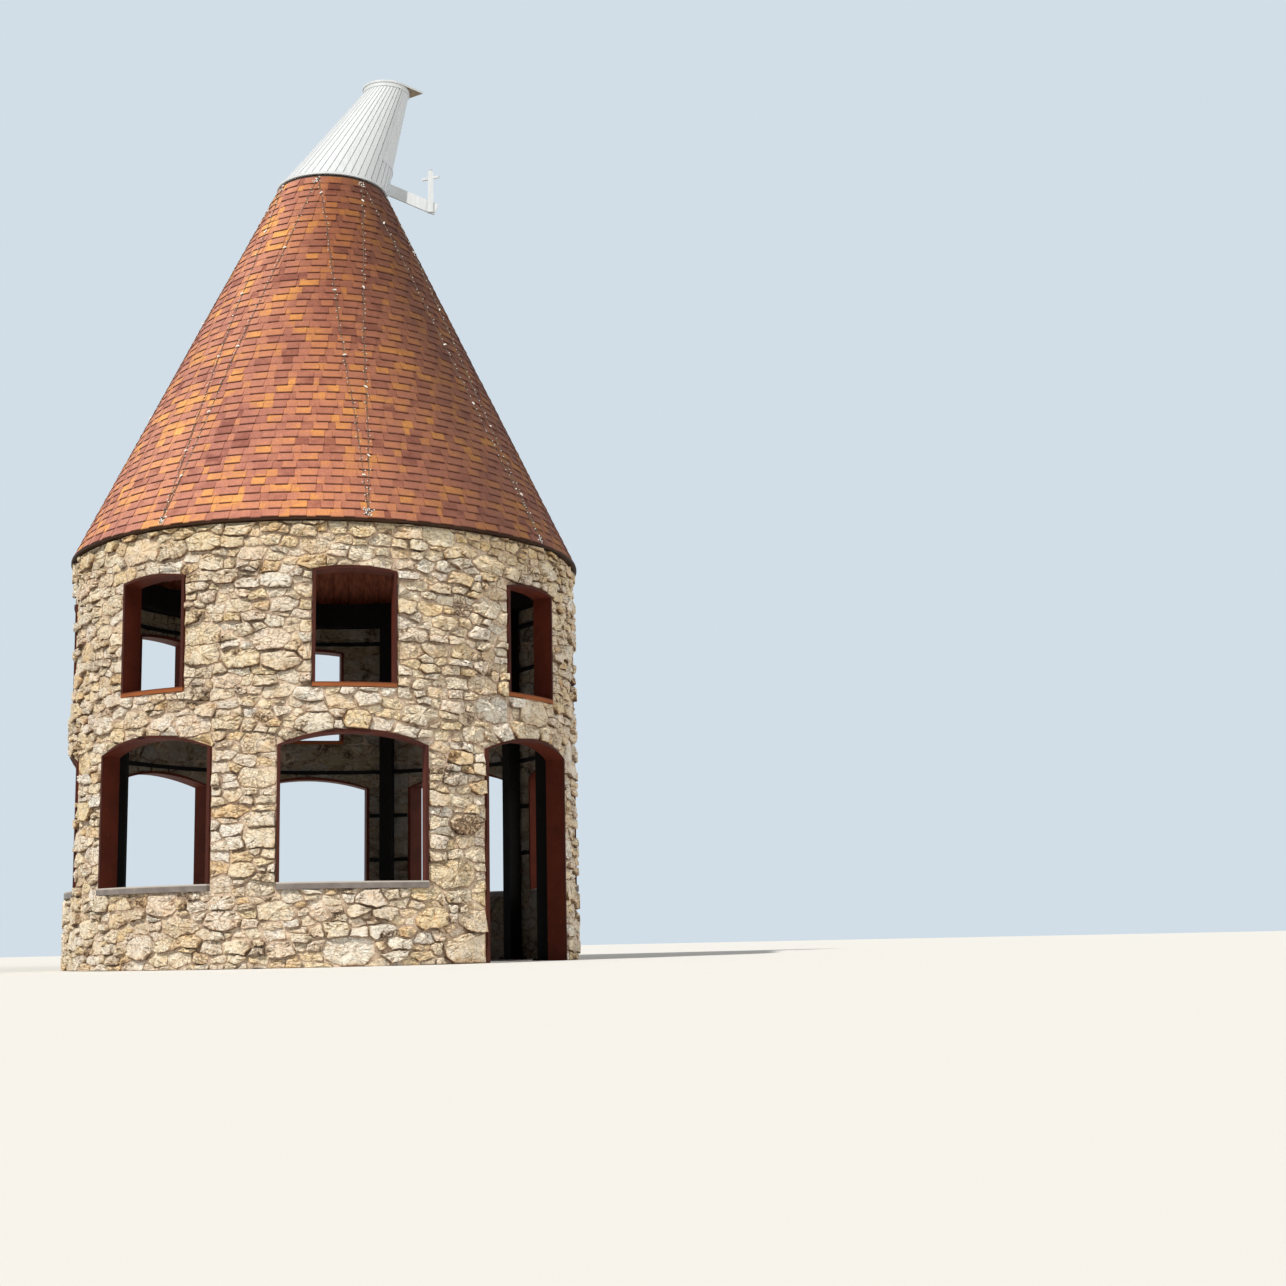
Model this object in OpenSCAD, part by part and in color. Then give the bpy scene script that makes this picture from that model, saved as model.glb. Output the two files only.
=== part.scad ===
// Oast house: a round stone tower with eight bays, a shingled cone and a cowl that turns with the wind.
// Origin on the ground at the tower's axis, +Z up, the front bay looks along -Y. Millimetres.

/* [Tower wall] */
// Radius of the wall's outer face
wall_r = 3640; // [3560:10:3760]
// Thickness of the stone wall
wall_t = 230; // [210:5:270]
// Height of the wall from the ground to the wall plate
wall_h = 5740; // [5700:10:5900]

/* [Lower arches] */
// Width of each lower opening in the wall
arch_w = 1960; // [1800:10:2060]
// Height at which the arch springs
arch_spring = 2845; // [2700:5:2870]
// Rise of the arch above its springing
arch_rise = 200; // [140:10:220]
// Height of the bar counter's top
counter_top = 1080; // [950:10:1150]
// Thickness of the bar counter's slab
counter_t = 90; // [50:5:110]
// How far the counter stands out from the wall's outer face
counter_out = 60; // [40:5:80]
// How far the counter stands in from the wall's inner face
counter_in = 160; // [120:10:180]

/* [Upper windows] */
// Width of each upper opening in the wall
win_w = 1110; // [900:10:1200]
// Height of the opening's foot
win_sill = 3600; // [3500:10:3700]
// Height at which the window's head springs
win_spring = 5150; // [5000:10:5170]
// Rise of the window's head above its springing
win_rise = 60; // [40:5:70]

/* [Steel linings] */
// Width of a lining's face as seen from the front
lining_face = 42; // [30:1:60]
// How far a lining stands out from the wall's outer face
lining_out = 34; // [20:1:50]
// How far a lining stands in from the wall's inner face
lining_in = 34; // [20:1:40]
// Height of the sill member of a window lining
sill_h = 60; // [42:2:80]

/* [Steel frame] */
// Width of the square columns behind the piers
col_w = 200; // [150:10:220]
// Wall thickness of the hollow columns
col_wall = 10; // [8:1:12]
// Depth of the girts between the columns and the wall
girt_d = 60; // [50:5:80]
// Height of the girts
girt_h = 60; // [40:5:80]
// Rise from one girt to the next
girt_step = 730; // [700:10:740]
// Thickness of a column's base plate
foot_t = 25; // [15:1:40]
// How far a base plate stands out from its column
foot_out = 60; // [40:5:80]
// How far the ring beam's foot lies below the wall's top
beam_drop = 180; // [150:5:200]
// Width of the ring beam's flanges at the eave
beam_w = 260; // [260:10:320]
// Depth of the ring beam
beam_h = 380; // [300:10:400]
// Thickness of the ring beam's web and flanges
beam_t = 20; // [14:1:26]

/* [Roof] */
// Height of the wall plate
plate_h = 75; // [50:5:100]
// How far the eave stands out from the wall's outer face
eave_out = 95; // [70:5:140]
// Height of the metal drip edge
drip_h = 30; // [20:5:60]
// Thickness of the drip edge
drip_t = 15; // [10:1:20]
// Height of the cone from the eave to the curb
cone_h = 6010; // [5800:10:6200]
// Radius of the curb at the top of the cone
curb_r = 826; // [790:2:850]
// Height of the curb ring
curb_h = 14; // [10:1:60]
// Thickness of the roof measured level, without its boards
roof_t = 95; // [80:5:120]
// Thickness of the boards that line the cone, measured level
board_t = 22; // [16:1:30]

/* [Cowl] */
// Direction that the beak points, turned from +X towards +Y
cowl_heading = -8; // [-180:1:180]
// Clear height between the curb and the cowl's ring
cowl_gap = 10; // [8:1:40]
// Height of the cowl from its ring to the cap
cowl_h = 1760; // [1700:10:1950]
// Radius of the cowl at its ring
cowl_r0 = 853; // [780:1:870]
// Radius of the cowl under its cap
cowl_r1 = 356; // [300:2:380]
// How far the cowl's top leans towards the beak
cowl_lean = 835; // [780:5:900]
// Number of upright boards
cowl_boards = 44; // [36:2:48]
// Thickness of the boards
cowl_t = 24; // [18:1:30]
// Depth of the joint between two boards
joint_d = 8; // [5:1:12]
// Height of the mouth's foot above the ring
mouth_z = 400; // [340:10:560]
// Number of boards that stop at the mouth's foot
mouth_boards = 9; // [5:2:11]
// How far the panel that closes the mouth lies behind the boards' faces
panel_in = 10; // [9:1:14]
// Height of the upright hoop under the cap
hoop_h = 60; // [40:2:90]
// How far the hoop stands out from the boards' ends
hoop_out = 8; // [6:1:22]
// Thickness of the cap
cap_t = 34; // [26:2:70]
// How far the cap stands out from the boards
cap_out = 15.5; // [12:0.5:34]
// Distance of the beak's tip from the cap's centre
beak_l = 573; // [500:1:640]

/* [Cowl pole and vane] */
// Diameter of the pole that the cowl turns on
pole_d = 110; // [90:5:140]
// Depth of the lower pole beam's underside below the curb
pole_drop = 1400; // [1200:20:1600]
// Running clearance of the pole in its bearings
pole_fit = 0.06; // [0.04:0.01:0.09]
// Length of the vane arm beyond the cowl's foot, measured level
arm_l = 800; // [700:10:960]
// Height of the vane arm's upper edge above its lower edge at the boards
arm_h = 182; // [150:2:220]
// Fall of the vane arm below the level, in degrees
arm_fall = 22.7; // [0:0.1:26]
// Thickness of the vane arm
arm_t = 36; // [28:2:50]
// Height of the upright post above the arm
post_h = 480; // [400:10:560]
// Width of the square post
post_w = 84; // [60:2:110]
// Distance of the post from the arm's outer end
post_in = 82; // [40:2:160]
// Length of the cross piece near the post's top
cross_l = 300; // [220:10:360]
// Turn of the cross piece out of the arm's plane
cross_turn = 30; // [0:5:90]

/* [Hidden] */

$fn = 32;
bays = 8;
// Sides of the large arcs, so that a corner lies in the middle of each bay, and of the whole rings
arc_fn = 10 * bays;
ring_fn = 7 * bays;
girt_fn = 5 * bays;
// Sides of the circles that cut the linings, so that a corner lies near each lining's edge
arch_fn = 24 * bays;
win_fn = 20 * bays;
bay_a = 360 / bays;
// Bays whose lower opening is a doorway and has no counter
doors = [1, 5];
counter_bays = [for (i = [0:bays - 1]) if (len(search(i, doors)) == 0) i];

wall_in = wall_r - wall_t;
// Play between large parts that only rest on each other
seat = 0.3;
apron_h = counter_top - counter_t;
col_out = wall_in - girt_d;
col_c = col_out - col_w / 2;
girt_in = norm([col_out, col_w / 2]);
beam_z0 = wall_h - beam_drop;
beam_z1 = beam_z0 + beam_h;
beam_in = wall_in - beam_w;

eave_r = wall_r + eave_out;
drip_z = wall_h + plate_h - 10;
roof_z0 = drip_z + drip_h;
roof_z1 = roof_z0 + cone_h;
roof_r0 = eave_r - drip_t;
slope = (roof_r0 - curb_r) / cone_h;
function roof_r(z) = roof_r0 - (z - roof_z0) * slope;

curb_z1 = roof_z1 + curb_h;
cowl_z = curb_z1 + cowl_gap;
ring_h = 70;
ring_w = 60;
pole_r = pole_d / 2;
beam_top_w = 240;
beam_top_h = 120;
beam_top_z = roof_z1 - 160 - beam_top_h;
beam_low_w = 200;
beam_low_h = 160;
beam_low_z = roof_z1 - pole_drop;
step_h = 90;
pole_z0 = beam_low_z + beam_low_h + 20;
pole_z1 = cowl_z + cowl_h / 2;
arms_h = 90;
arms_w = 100;

// An opening's outline: straight jambs and a segmental head
module head2d(w, z0, spring, rise) {
  r = (w * w / 4 + rise * rise) / (2 * rise);
  translate([-w / 2, z0]) square([w, spring - z0]);
  intersection() {
    translate([0, spring + rise - r]) circle(r, $fn = arc_fn);
    translate([-w / 2, spring - 1]) square([w, rise + 2]);
  }
}

// Turns a drawing of the front bay to bay i
module at_bay(i) rotate([0, 0, i * bay_a]) children();

// Extrudes an elevation outwards through the front wall
module through() rotate([90, 0, 0]) linear_extrude(wall_r + 2 * eave_out) children();

module tube(r_in, r_out, h, fn = ring_fn) {
  difference() {
    cylinder(r = r_out, h = h, $fn = fn);
    translate([0, 0, -1]) cylinder(r = r_in, h = h + 2, $fn = fn);
  }
}

module ring_arc(r_in, r_out, z, h, a, fn = arc_fn)
  rotate([0, 0, -90 - a / 2]) rotate_extrude(angle = a, $fn = fn)
    translate([r_in, z]) square([r_out - r_in, h]);

module wall_bay(i) {
  is_door = len(search(i, doors)) > 0;
  color("burlywood") at_bay(i) difference() {
    ring_arc(wall_in, wall_r, 0, wall_h, bay_a);
    through() head2d(arch_w, is_door ? -10 : apron_h, arch_spring, arch_rise);
    through() head2d(win_w, win_sill, win_spring, win_rise);
  }
}

module lining_shell(z0, z1, fn) intersection() {
  children();
  translate([0, 0, z0]) tube(wall_in - lining_in, wall_r + lining_out, z1 - z0, fn);
}

module arch_lining(i) {
  is_door = len(search(i, doors)) > 0;
  z0 = is_door ? 0 : counter_top;
  f = lining_face;
  color("saddlebrown") at_bay(i) lining_shell(z0, arch_spring + arch_rise + 10, arch_fn)
    through() difference() {
      head2d(arch_w, z0, arch_spring, arch_rise);
      head2d(arch_w - 2 * f, z0 - 10, arch_spring, arch_rise - f);
    }
}

module window_lining(i) {
  f = lining_face;
  color("saddlebrown") at_bay(i) lining_shell(win_sill, win_spring + win_rise + 10, win_fn)
    through() difference() {
      head2d(win_w, win_sill, win_spring, win_rise);
      head2d(win_w - 2 * f, win_sill + sill_h, win_spring - f / 2, win_rise - f / 2);
    }
}

module bar_counters() color("dimgray")
  for (i = counter_bays) at_bay(i)
    translate([0, 0, apron_h]) linear_extrude(counter_t) intersection() {
      circle(wall_r + counter_out, $fn = arc_fn);
      translate([-arch_w / 2, -wall_r - counter_out - 10])
        square([arch_w, wall_t + counter_out + counter_in + 10]);
    }

module columns() color([0.1, 0.1, 0.1])
  for (i = [0:bays - 1]) at_bay(i + 0.5) {
    translate([0, -col_c, foot_t]) linear_extrude(beam_z0 - foot_t - seat) difference() {
      square(col_w, center = true);
      square(col_w - 2 * col_wall, center = true);
    }
    intersection() {
      translate([-col_w / 2 - foot_out, -col_out - foot_out, 0])
        cube([col_w + 2 * foot_out, col_w + 2 * foot_out, foot_t]);
      cylinder(r = wall_in, h = foot_t, $fn = arch_fn);
    }
  }

low_pier_a = bay_a - 2 * asin(arch_w / 2 / wall_in) - 0.8;
high_pier_a = bay_a - 2 * asin(win_w / 2 / wall_in) - 0.8;
girt_low_z = arch_spring + arch_rise + 45;
girt_high_z = win_spring + win_rise + 50;

module pier_girts() color([0.1, 0.1, 0.1])
  for (i = [0:bays - 1]) at_bay(i + 0.5) {
    for (k = [1:2]) {
      ring_arc(girt_in, wall_in, girt_low_z - k * girt_step, girt_h, low_pier_a, girt_fn);
      ring_arc(girt_in, wall_in, girt_low_z + k * girt_step, girt_h, high_pier_a, girt_fn);
    }
  }

module girt_ring_low() color([0.1, 0.1, 0.1])
  translate([0, 0, girt_low_z]) tube(girt_in, wall_in, girt_h);

module girt_ring_high() color([0.1, 0.1, 0.1])
  translate([0, 0, girt_high_z]) tube(girt_in, wall_in, girt_h);

// Channel with its web inside and its flanges reaching out to the wall and the roof
module ring_beam() color([0.12, 0.12, 0.12])
  rotate_extrude($fn = ring_fn) {
    translate([beam_in, beam_z0]) square([beam_t, beam_h]);
    translate([beam_in, beam_z0]) square([wall_in - beam_in, beam_t]);
    translate([beam_in, beam_z1 - beam_t]) square([roof_in(beam_z1) - beam_in, beam_t]);
  }

function roof_in(z) = roof_r(z) - roof_t - board_t;

module wall_plate() color("peru")
  translate([0, 0, wall_h + seat]) tube(wall_in + 60, wall_r - 5, plate_h - seat);

module eave_drip() color([0.2, 0.16, 0.14])
  rotate_extrude($fn = ring_fn) {
    translate([eave_r - drip_t, drip_z]) square([drip_t, drip_h]);
    translate([wall_r - 5, drip_z]) square([eave_r - wall_r + 5, 10]);
  }

module roof_shell() color([0.5, 0.25, 0.18])
  rotate_extrude($fn = ring_fn) polygon([
    [roof_r0 - roof_t, roof_z0], [roof_r0, roof_z0],
    [curb_r, roof_z1], [curb_r - roof_t, roof_z1]
  ]);

module roof_boards() color("brown")
  rotate_extrude($fn = ring_fn) polygon([
    [roof_in(beam_z1), beam_z1], [roof_in(beam_z1) + board_t - 2 * seat, beam_z1],
    [curb_r - roof_t - 2 * seat, roof_z1], [curb_r - roof_t - board_t, roof_z1]
  ]);

module curb_ring() color([0.1, 0.1, 0.1])
  translate([0, 0, roof_z1]) tube(curb_r - roof_t - board_t, curb_r, curb_h);

// A beam across the cone, cut to the slope of its boards
module cone_beam(z, w, h) intersection() {
  translate([-roof_r(z), -w / 2, z]) cube([2 * roof_r(z), w, h]);
  translate([0, 0, z]) cylinder(r1 = roof_in(z) - seat, r2 = roof_in(z + h) - seat, h = h, $fn = arc_fn);
}

module pole_beam_low() color("peru")
  cone_beam(beam_low_z, beam_low_w, beam_low_h);

module pole_beam_top() color("peru") difference() {
  cone_beam(beam_top_z, beam_top_w, beam_top_h);
  translate([0, 0, beam_top_z - 1]) cylinder(r = pole_r + pole_fit, h = beam_top_h + 2);
}

module footstep() color("gray")
  translate([0, 0, beam_low_z + beam_low_h]) difference() {
    cylinder(r = pole_r + 30, h = step_h);
    translate([0, 0, 20]) cylinder(r = pole_r + pole_fit, h = step_h);
  }

module at_cowl() translate([0, 0, cowl_z]) rotate([0, 0, cowl_heading]) children();

board_h = cowl_h - hoop_h;
ring_z = ring_h / 2;
function cowl_r(z) = cowl_r0 + (cowl_r1 - cowl_r0) * z / board_h;
function cowl_x(z) = cowl_lean * z / board_h;

board_a = 360 / cowl_boards;
mouth_k = (mouth_boards - 1) / 2;
function polar(r, k) = [r * cos(k * board_a), r * sin(k * board_a)];

// Outline of board k between the radii r and r - t, with its outer edges eased
function board_line(r, t, k) = [
  polar(r, k - 0.455), polar(r, k + 0.455), polar(r - joint_d, k + 0.497),
  polar(r - t, k + 0.497), polar(r - t, k - 0.497), polar(r - joint_d, k - 0.497)];

// Outline of a plain curved strip over the boards k0 to k1
function strip_line(r, t, k0, k1) = concat(
  [for (k = [k0 - 0.5:k1 + 0.5]) polar(r, k)], [for (k = [k1 + 0.5:-1:k0 - 0.5]) polar(r - t, k)]);

function at_height(pts, z) = [for (p = pts) [p[0] + cowl_x(z), p[1], z]];

// Loft between two level outlines with the same number of points
module loft(a, b) {
  n = len(a);
  polyhedron(
    points = concat(a, b),
    faces = concat(
      [[for (i = [0:n - 1]) i]],
      [[for (i = [n - 1:-1:0]) n + i]],
      [for (i = [0:n - 1]) [i, n + i, n + (i + 1) % n, (i + 1) % n]]
    ));
}

// The space inside the boards
module cowl_inside(z0, z1) {
  function line(z) = at_height([for (k = [0:cowl_boards - 1]) polar(cowl_r(z) - cowl_t, k + 0.5)], z);
  loft(line(z0), line(z1));
}

// Upright tapered boards, the ones below the mouth cut short
module cowl_shell() color("white") at_cowl()
  for (k = [0:cowl_boards - 1]) {
    top = min(k, cowl_boards - k) <= mouth_k ? mouth_z : board_h;
    loft(at_height(board_line(cowl_r(ring_z), cowl_t, k), ring_z),
         at_height(board_line(cowl_r(top), cowl_t, k), top));
  }

module cowl_ring() color("white")
  translate([0, 0, cowl_z]) tube(cowl_r0 - ring_w, cowl_r0, ring_z);

module beak2d(r, l) {
  a = acos(r / l);
  circle(r, $fn = cowl_boards);
  polygon([[0, 0], [r * cos(a), -r * sin(a)], [l, 0], [r * cos(a), r * sin(a)]]);
}

// Upright hoop over the ends of the boards
module cowl_hoop() color("white") at_cowl()
  translate([cowl_lean, 0, board_h]) tube(cowl_r1 - cowl_t, cowl_r1 + hoop_out, hoop_h, cowl_boards);

module cowl_cap() color("white") at_cowl()
  translate([cowl_lean, 0, cowl_h]) linear_extrude(cap_t) beak2d(cowl_r1 + cap_out, beak_l);

frame_w = 55;
panel_t = 10;
sill_t = 20;
sill_lip = 10;

// Outline of the mouth's frame at height z, behind the boards k0 to k1
function frame_line(z, k0, k1) =
  at_height(strip_line(cowl_r(z) - cowl_t - 0.3, frame_w, k0, k1), z);

// Outline of one strip of the mouth's panel at height z
function panel_line(z, k) = at_height([
  polar(cowl_r(z) - panel_in, k - 0.498), polar(cowl_r(z) - panel_in, k + 0.498),
  polar(cowl_r(z) - panel_in - panel_t, k + 0.498), polar(cowl_r(z) - panel_in - panel_t, k - 0.498)], z);

// Posts inside the mouth's two edges, and a sill on its foot
module cowl_mouth_frame() color("white") at_cowl() {
  m = mouth_k + 1;
  for (k = [m, -m]) loft(frame_line(mouth_z - frame_w, k, k), frame_line(board_h, k, k));
  translate([cowl_x(mouth_z), 0, mouth_z]) linear_extrude(sill_t)
    polygon(concat(
      [for (k = [-mouth_boards:2:mouth_boards]) polar(cowl_r(mouth_z) + sill_lip, 0.49 * k)],
      [for (k = [mouth_boards:-2:-mouth_boards]) polar(cowl_r(mouth_z) - cowl_t - sill_lip, 0.49 * k)]));
}

// Plain strips that close the mouth, each behind the place of one board
module cowl_mouth_panel() color("white") at_cowl()
  for (k = [-mouth_k:mouth_k])
    loft(panel_line(mouth_z + sill_t + 0.3, k), panel_line(board_h, k));

module cowl_pole() color("peru")
  translate([0, 0, pole_z0]) cylinder(r = pole_r, h = pole_z1 - pole_z0);

module cowl_arms() color("peru") at_cowl() difference() {
  intersection() {
    union() {
      for (a = [0, 90]) rotate([0, 0, a])
        translate([-cowl_r0, -arms_w / 2, ring_z]) cube([2 * cowl_r0, arms_w, arms_h]);
    }
    cowl_inside(ring_z, ring_z + arms_h + 1);
  }
  cylinder(r = pole_r, h = ring_z + arms_h + 1);
}

// Foremost line of the boards, on the side of the beak
function cowl_front(z) = cowl_x(z) + cowl_r(z) * cos(0.455 * board_a);

arm_x1 = cowl_r0 + arm_l;
arm_z0 = ring_z + arm_h;
// Heights of the arm's two edges at distance x from the axis
function arm_top(x) = arm_z0 - (x - cowl_front(arm_z0)) * tan(arm_fall);
function arm_foot(x) = ring_z - (x - cowl_front(ring_z)) * tan(arm_fall);
// The outer end is cut square to the arm
arm_x2 = arm_x1 - (arm_top(arm_x1) - arm_foot(arm_x1)) * cos(arm_fall) * sin(arm_fall);

// Board that stands out at the cowl's foot and falls outwards
module vane_arm() color("white") at_cowl() rotate([90, 0, 0])
  translate([0, 0, -arm_t / 2]) linear_extrude(arm_t) polygon([
    [cowl_front(ring_z), ring_z], [arm_x2, arm_foot(arm_x2)],
    [arm_x1, arm_top(arm_x1)], [cowl_front(arm_z0), arm_z0]
  ]);

post_x = arm_x1 - post_in - post_w / 2;
cross_t = 34;
finial_h = 46;

// Square post that straddles the arm, with a cross piece and a round knob
module vane_post() color("white") at_cowl() translate([post_x, 0, 0]) {
  z0 = arm_foot(post_x + post_w / 2) + 30;
  z1 = arm_top(post_x) + post_h;
  difference() {
    union() {
      translate([-post_w / 2, -post_w / 2, z0]) cube([post_w, post_w, z1 - z0]);
      translate([0, 0, z1 - 110]) rotate([0, 0, -cross_turn])
        translate([-cross_l / 2, -cross_t / 2, 0]) cube([cross_l, cross_t, cross_t]);
    }
    rotate([90, 0, 0]) translate([0, 0, -arm_t / 2]) linear_extrude(arm_t) polygon([
      [-post_w, arm_foot(post_x - post_w) - 1], [post_w, arm_foot(post_x + post_w) - 1],
      [post_w, arm_top(post_x + post_w)], [-post_w, arm_top(post_x - post_w)]
    ]);
  }
  translate([0, 0, z1]) cylinder(r1 = post_w / 2, r2 = 22, h = finial_h / 2);
  translate([0, 0, z1 + finial_h / 2]) cylinder(r1 = 22, r2 = 30, h = finial_h / 2);
}

wall_bay(0);  // wall_front
wall_bay(1);  // wall_front_right
wall_bay(2);  // wall_right
wall_bay(3);  // wall_back_right
wall_bay(4);  // wall_back
wall_bay(5);  // wall_back_left
wall_bay(6);  // wall_left
wall_bay(7);  // wall_front_left
arch_lining(0);  // arch_lining_front
arch_lining(1);  // arch_lining_front_right
arch_lining(2);  // arch_lining_right
arch_lining(3);  // arch_lining_back_right
arch_lining(4);  // arch_lining_back
arch_lining(5);  // arch_lining_back_left
arch_lining(6);  // arch_lining_left
arch_lining(7);  // arch_lining_front_left
window_lining(0);  // window_lining_front
window_lining(1);  // window_lining_front_right
window_lining(2);  // window_lining_right
window_lining(3);  // window_lining_back_right
window_lining(4);  // window_lining_back
window_lining(5);  // window_lining_back_left
window_lining(6);  // window_lining_left
window_lining(7);  // window_lining_front_left
bar_counters();
columns();
pier_girts();
girt_ring_low();
girt_ring_high();
ring_beam();
wall_plate();
eave_drip();
roof_shell();
roof_boards();
curb_ring();
pole_beam_low();
pole_beam_top();
footstep();
cowl_ring();
cowl_shell();
cowl_hoop();
cowl_cap();
cowl_mouth_frame();
cowl_mouth_panel();
cowl_pole();
cowl_arms();
vane_arm();
vane_post();
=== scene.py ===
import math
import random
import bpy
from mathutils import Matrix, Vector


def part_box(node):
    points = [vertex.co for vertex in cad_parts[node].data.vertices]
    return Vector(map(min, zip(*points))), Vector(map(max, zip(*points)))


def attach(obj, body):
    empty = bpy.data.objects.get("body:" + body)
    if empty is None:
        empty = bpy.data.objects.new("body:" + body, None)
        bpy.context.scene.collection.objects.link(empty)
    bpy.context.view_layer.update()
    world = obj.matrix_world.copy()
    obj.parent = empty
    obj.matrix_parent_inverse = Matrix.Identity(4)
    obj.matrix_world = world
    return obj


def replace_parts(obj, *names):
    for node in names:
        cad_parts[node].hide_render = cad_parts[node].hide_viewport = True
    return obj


bl_info = {
    "name": "Oast House",
    "version": (1, 0, 0),
    "blender": (4, 5, 0),
    "location": "View3D > Sidebar > Oast House",
    "description": "Lays the stones, shingles, boards and lamps of a round stone oast house and sets its stage",
    "category": "Object",
}

import bpy
from mathutils import Matrix, Vector, noise

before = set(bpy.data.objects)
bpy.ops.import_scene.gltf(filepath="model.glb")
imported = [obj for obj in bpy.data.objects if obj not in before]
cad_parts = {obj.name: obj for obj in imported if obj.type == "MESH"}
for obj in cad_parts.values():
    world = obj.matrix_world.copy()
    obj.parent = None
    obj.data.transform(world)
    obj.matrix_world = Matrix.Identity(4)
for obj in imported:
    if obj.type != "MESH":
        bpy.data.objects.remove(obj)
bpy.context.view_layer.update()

TAU = 2 * math.pi
BAYS = ["front", "front_right", "right", "back_right", "back", "back_left", "left", "front_left"]
DOORS = ["front_right", "back_left"]
BAY = TAU / len(BAYS)
FRONT = -math.pi / 2

BEAM_BOLTS = 48  # in each of the two rows on the ring beam
# faces of a tapered board, whose lower four corners come first
BOARD_FACES = ((3, 2, 1, 0), (4, 5, 6, 7), (0, 1, 5, 4), (1, 2, 6, 5), (2, 3, 7, 6), (3, 0, 4, 7))


def radius_of(node):
    """Largest distance from the axis of a round node."""
    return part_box(node)[1][0]


def around(r, a, z):
    """The point at a distance and an angle round the tower's axis."""
    return r * math.cos(a), r * math.sin(a), z


# ---------------------------------------------------------------- settings


class OastWallSettings(bpy.types.PropertyGroup):
    """Sizes and colours of the stone wall"""

    stone: bpy.props.FloatProperty(
        name="Stone size", description="Usual height of a stone", default=0.142, min=0.05, max=0.3, subtype="DISTANCE")
    stretch: bpy.props.FloatProperty(
        name="Stone stretch", description="How much longer than high the stones are laid", default=1.85, min=1, max=3)
    joint: bpy.props.FloatProperty(
        name="Joint", description="Width of the joints", default=0.019, min=0.002, max=0.05, subtype="DISTANCE")
    relief: bpy.props.FloatProperty(
        name="Relief", description="How far the stones stand out", default=0.074,
        min=0.01, max=0.08, subtype="DISTANCE")
    arch_rise: bpy.props.FloatProperty(
        name="Arch rise", description="Rise of the lower arches", default=0.2, min=0.05, max=0.5, subtype="DISTANCE")
    window_rise: bpy.props.FloatProperty(
        name="Window rise", description="Rise of the windows' heads", default=0.06,
        min=0.02, max=0.3, subtype="DISTANCE")
    seed: bpy.props.IntProperty(name="Seed", description="Seed of the stones' layout", default=11)
    pale: bpy.props.FloatVectorProperty(
        name="Pale stone", description="Colour of the usual pale stones", default=(0.97, 0.87, 0.70),
        subtype="COLOR", size=3, min=0, max=1)
    ochre: bpy.props.FloatVectorProperty(
        name="Ochre stone", description="Colour of the warm stones", default=(0.72, 0.47, 0.21),
        subtype="COLOR", size=3, min=0, max=1)
    grey: bpy.props.FloatVectorProperty(
        name="Grey stone", description="Colour of the grey stones", default=(0.52, 0.44, 0.34),
        subtype="COLOR", size=3, min=0, max=1)
    mortar: bpy.props.FloatVectorProperty(
        name="Mortar", description="Colour of the mortar", default=(0.67, 0.515, 0.39),
        subtype="COLOR", size=3, min=0, max=1)


class OastRoofSettings(bpy.types.PropertyGroup):
    """Sizes and colours of the shingled cone"""

    exposure: bpy.props.FloatProperty(
        name="Exposure", description="Height of a course along the slope", default=0.138,
        min=0.08, max=0.3, subtype="DISTANCE")
    tab: bpy.props.FloatProperty(
        name="Tab width", description="Usual width of a shingle's tab", default=0.17,
        min=0.08, max=0.4, subtype="DISTANCE")
    butt: bpy.props.FloatProperty(
        name="Butt", description="Thickness of a raised tab's lower edge", default=0.015,
        min=0.003, max=0.03, subtype="DISTANCE")
    seed: bpy.props.IntProperty(name="Seed", description="Seed of the tabs' widths and colours", default=5)
    red: bpy.props.FloatVectorProperty(
        name="Red tab", description="Colour of the usual tab", default=(0.575, 0.240, 0.160),
        subtype="COLOR", size=3, min=0, max=1)
    orange: bpy.props.FloatVectorProperty(
        name="Orange tab", description="Colour of the bright tabs", default=(0.90, 0.418, 0.130),
        subtype="COLOR", size=3, min=0, max=1)
    lining_boards: bpy.props.IntProperty(
        name="Lining boards", description="Number of boards that line the cone", default=84, min=24, max=200)


class OastCowlSettings(bpy.types.PropertyGroup):
    """Finish of the cowl"""

    paint: bpy.props.FloatVectorProperty(
        name="Paint", description="Colour of the painted boards", default=(0.645, 0.686, 0.722),
        subtype="COLOR", size=3, min=0, max=1)
    boards: bpy.props.IntProperty(name="Boards", description="Number of boards of the cowl", default=44, min=12, max=80)


class OastLampSettings(bpy.types.PropertyGroup):
    """The strings of small lamps on the roof"""

    cable: bpy.props.FloatProperty(
        name="Cable", description="Thickness of the cable", default=0.009, min=0.002, max=0.03, subtype="DISTANCE")
    bulb: bpy.props.FloatProperty(
        name="Bulb", description="Diameter of a bulb", default=0.013, min=0.01, max=0.1, subtype="DISTANCE")
    pitch: bpy.props.FloatProperty(
        name="Pitch", description="Distance from bulb to bulb", default=0.115, min=0.05, max=2.0, subtype="DISTANCE")
    seed: bpy.props.IntProperty(name="Seed", description="Seed of the bulbs' tilt", default=3)


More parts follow.
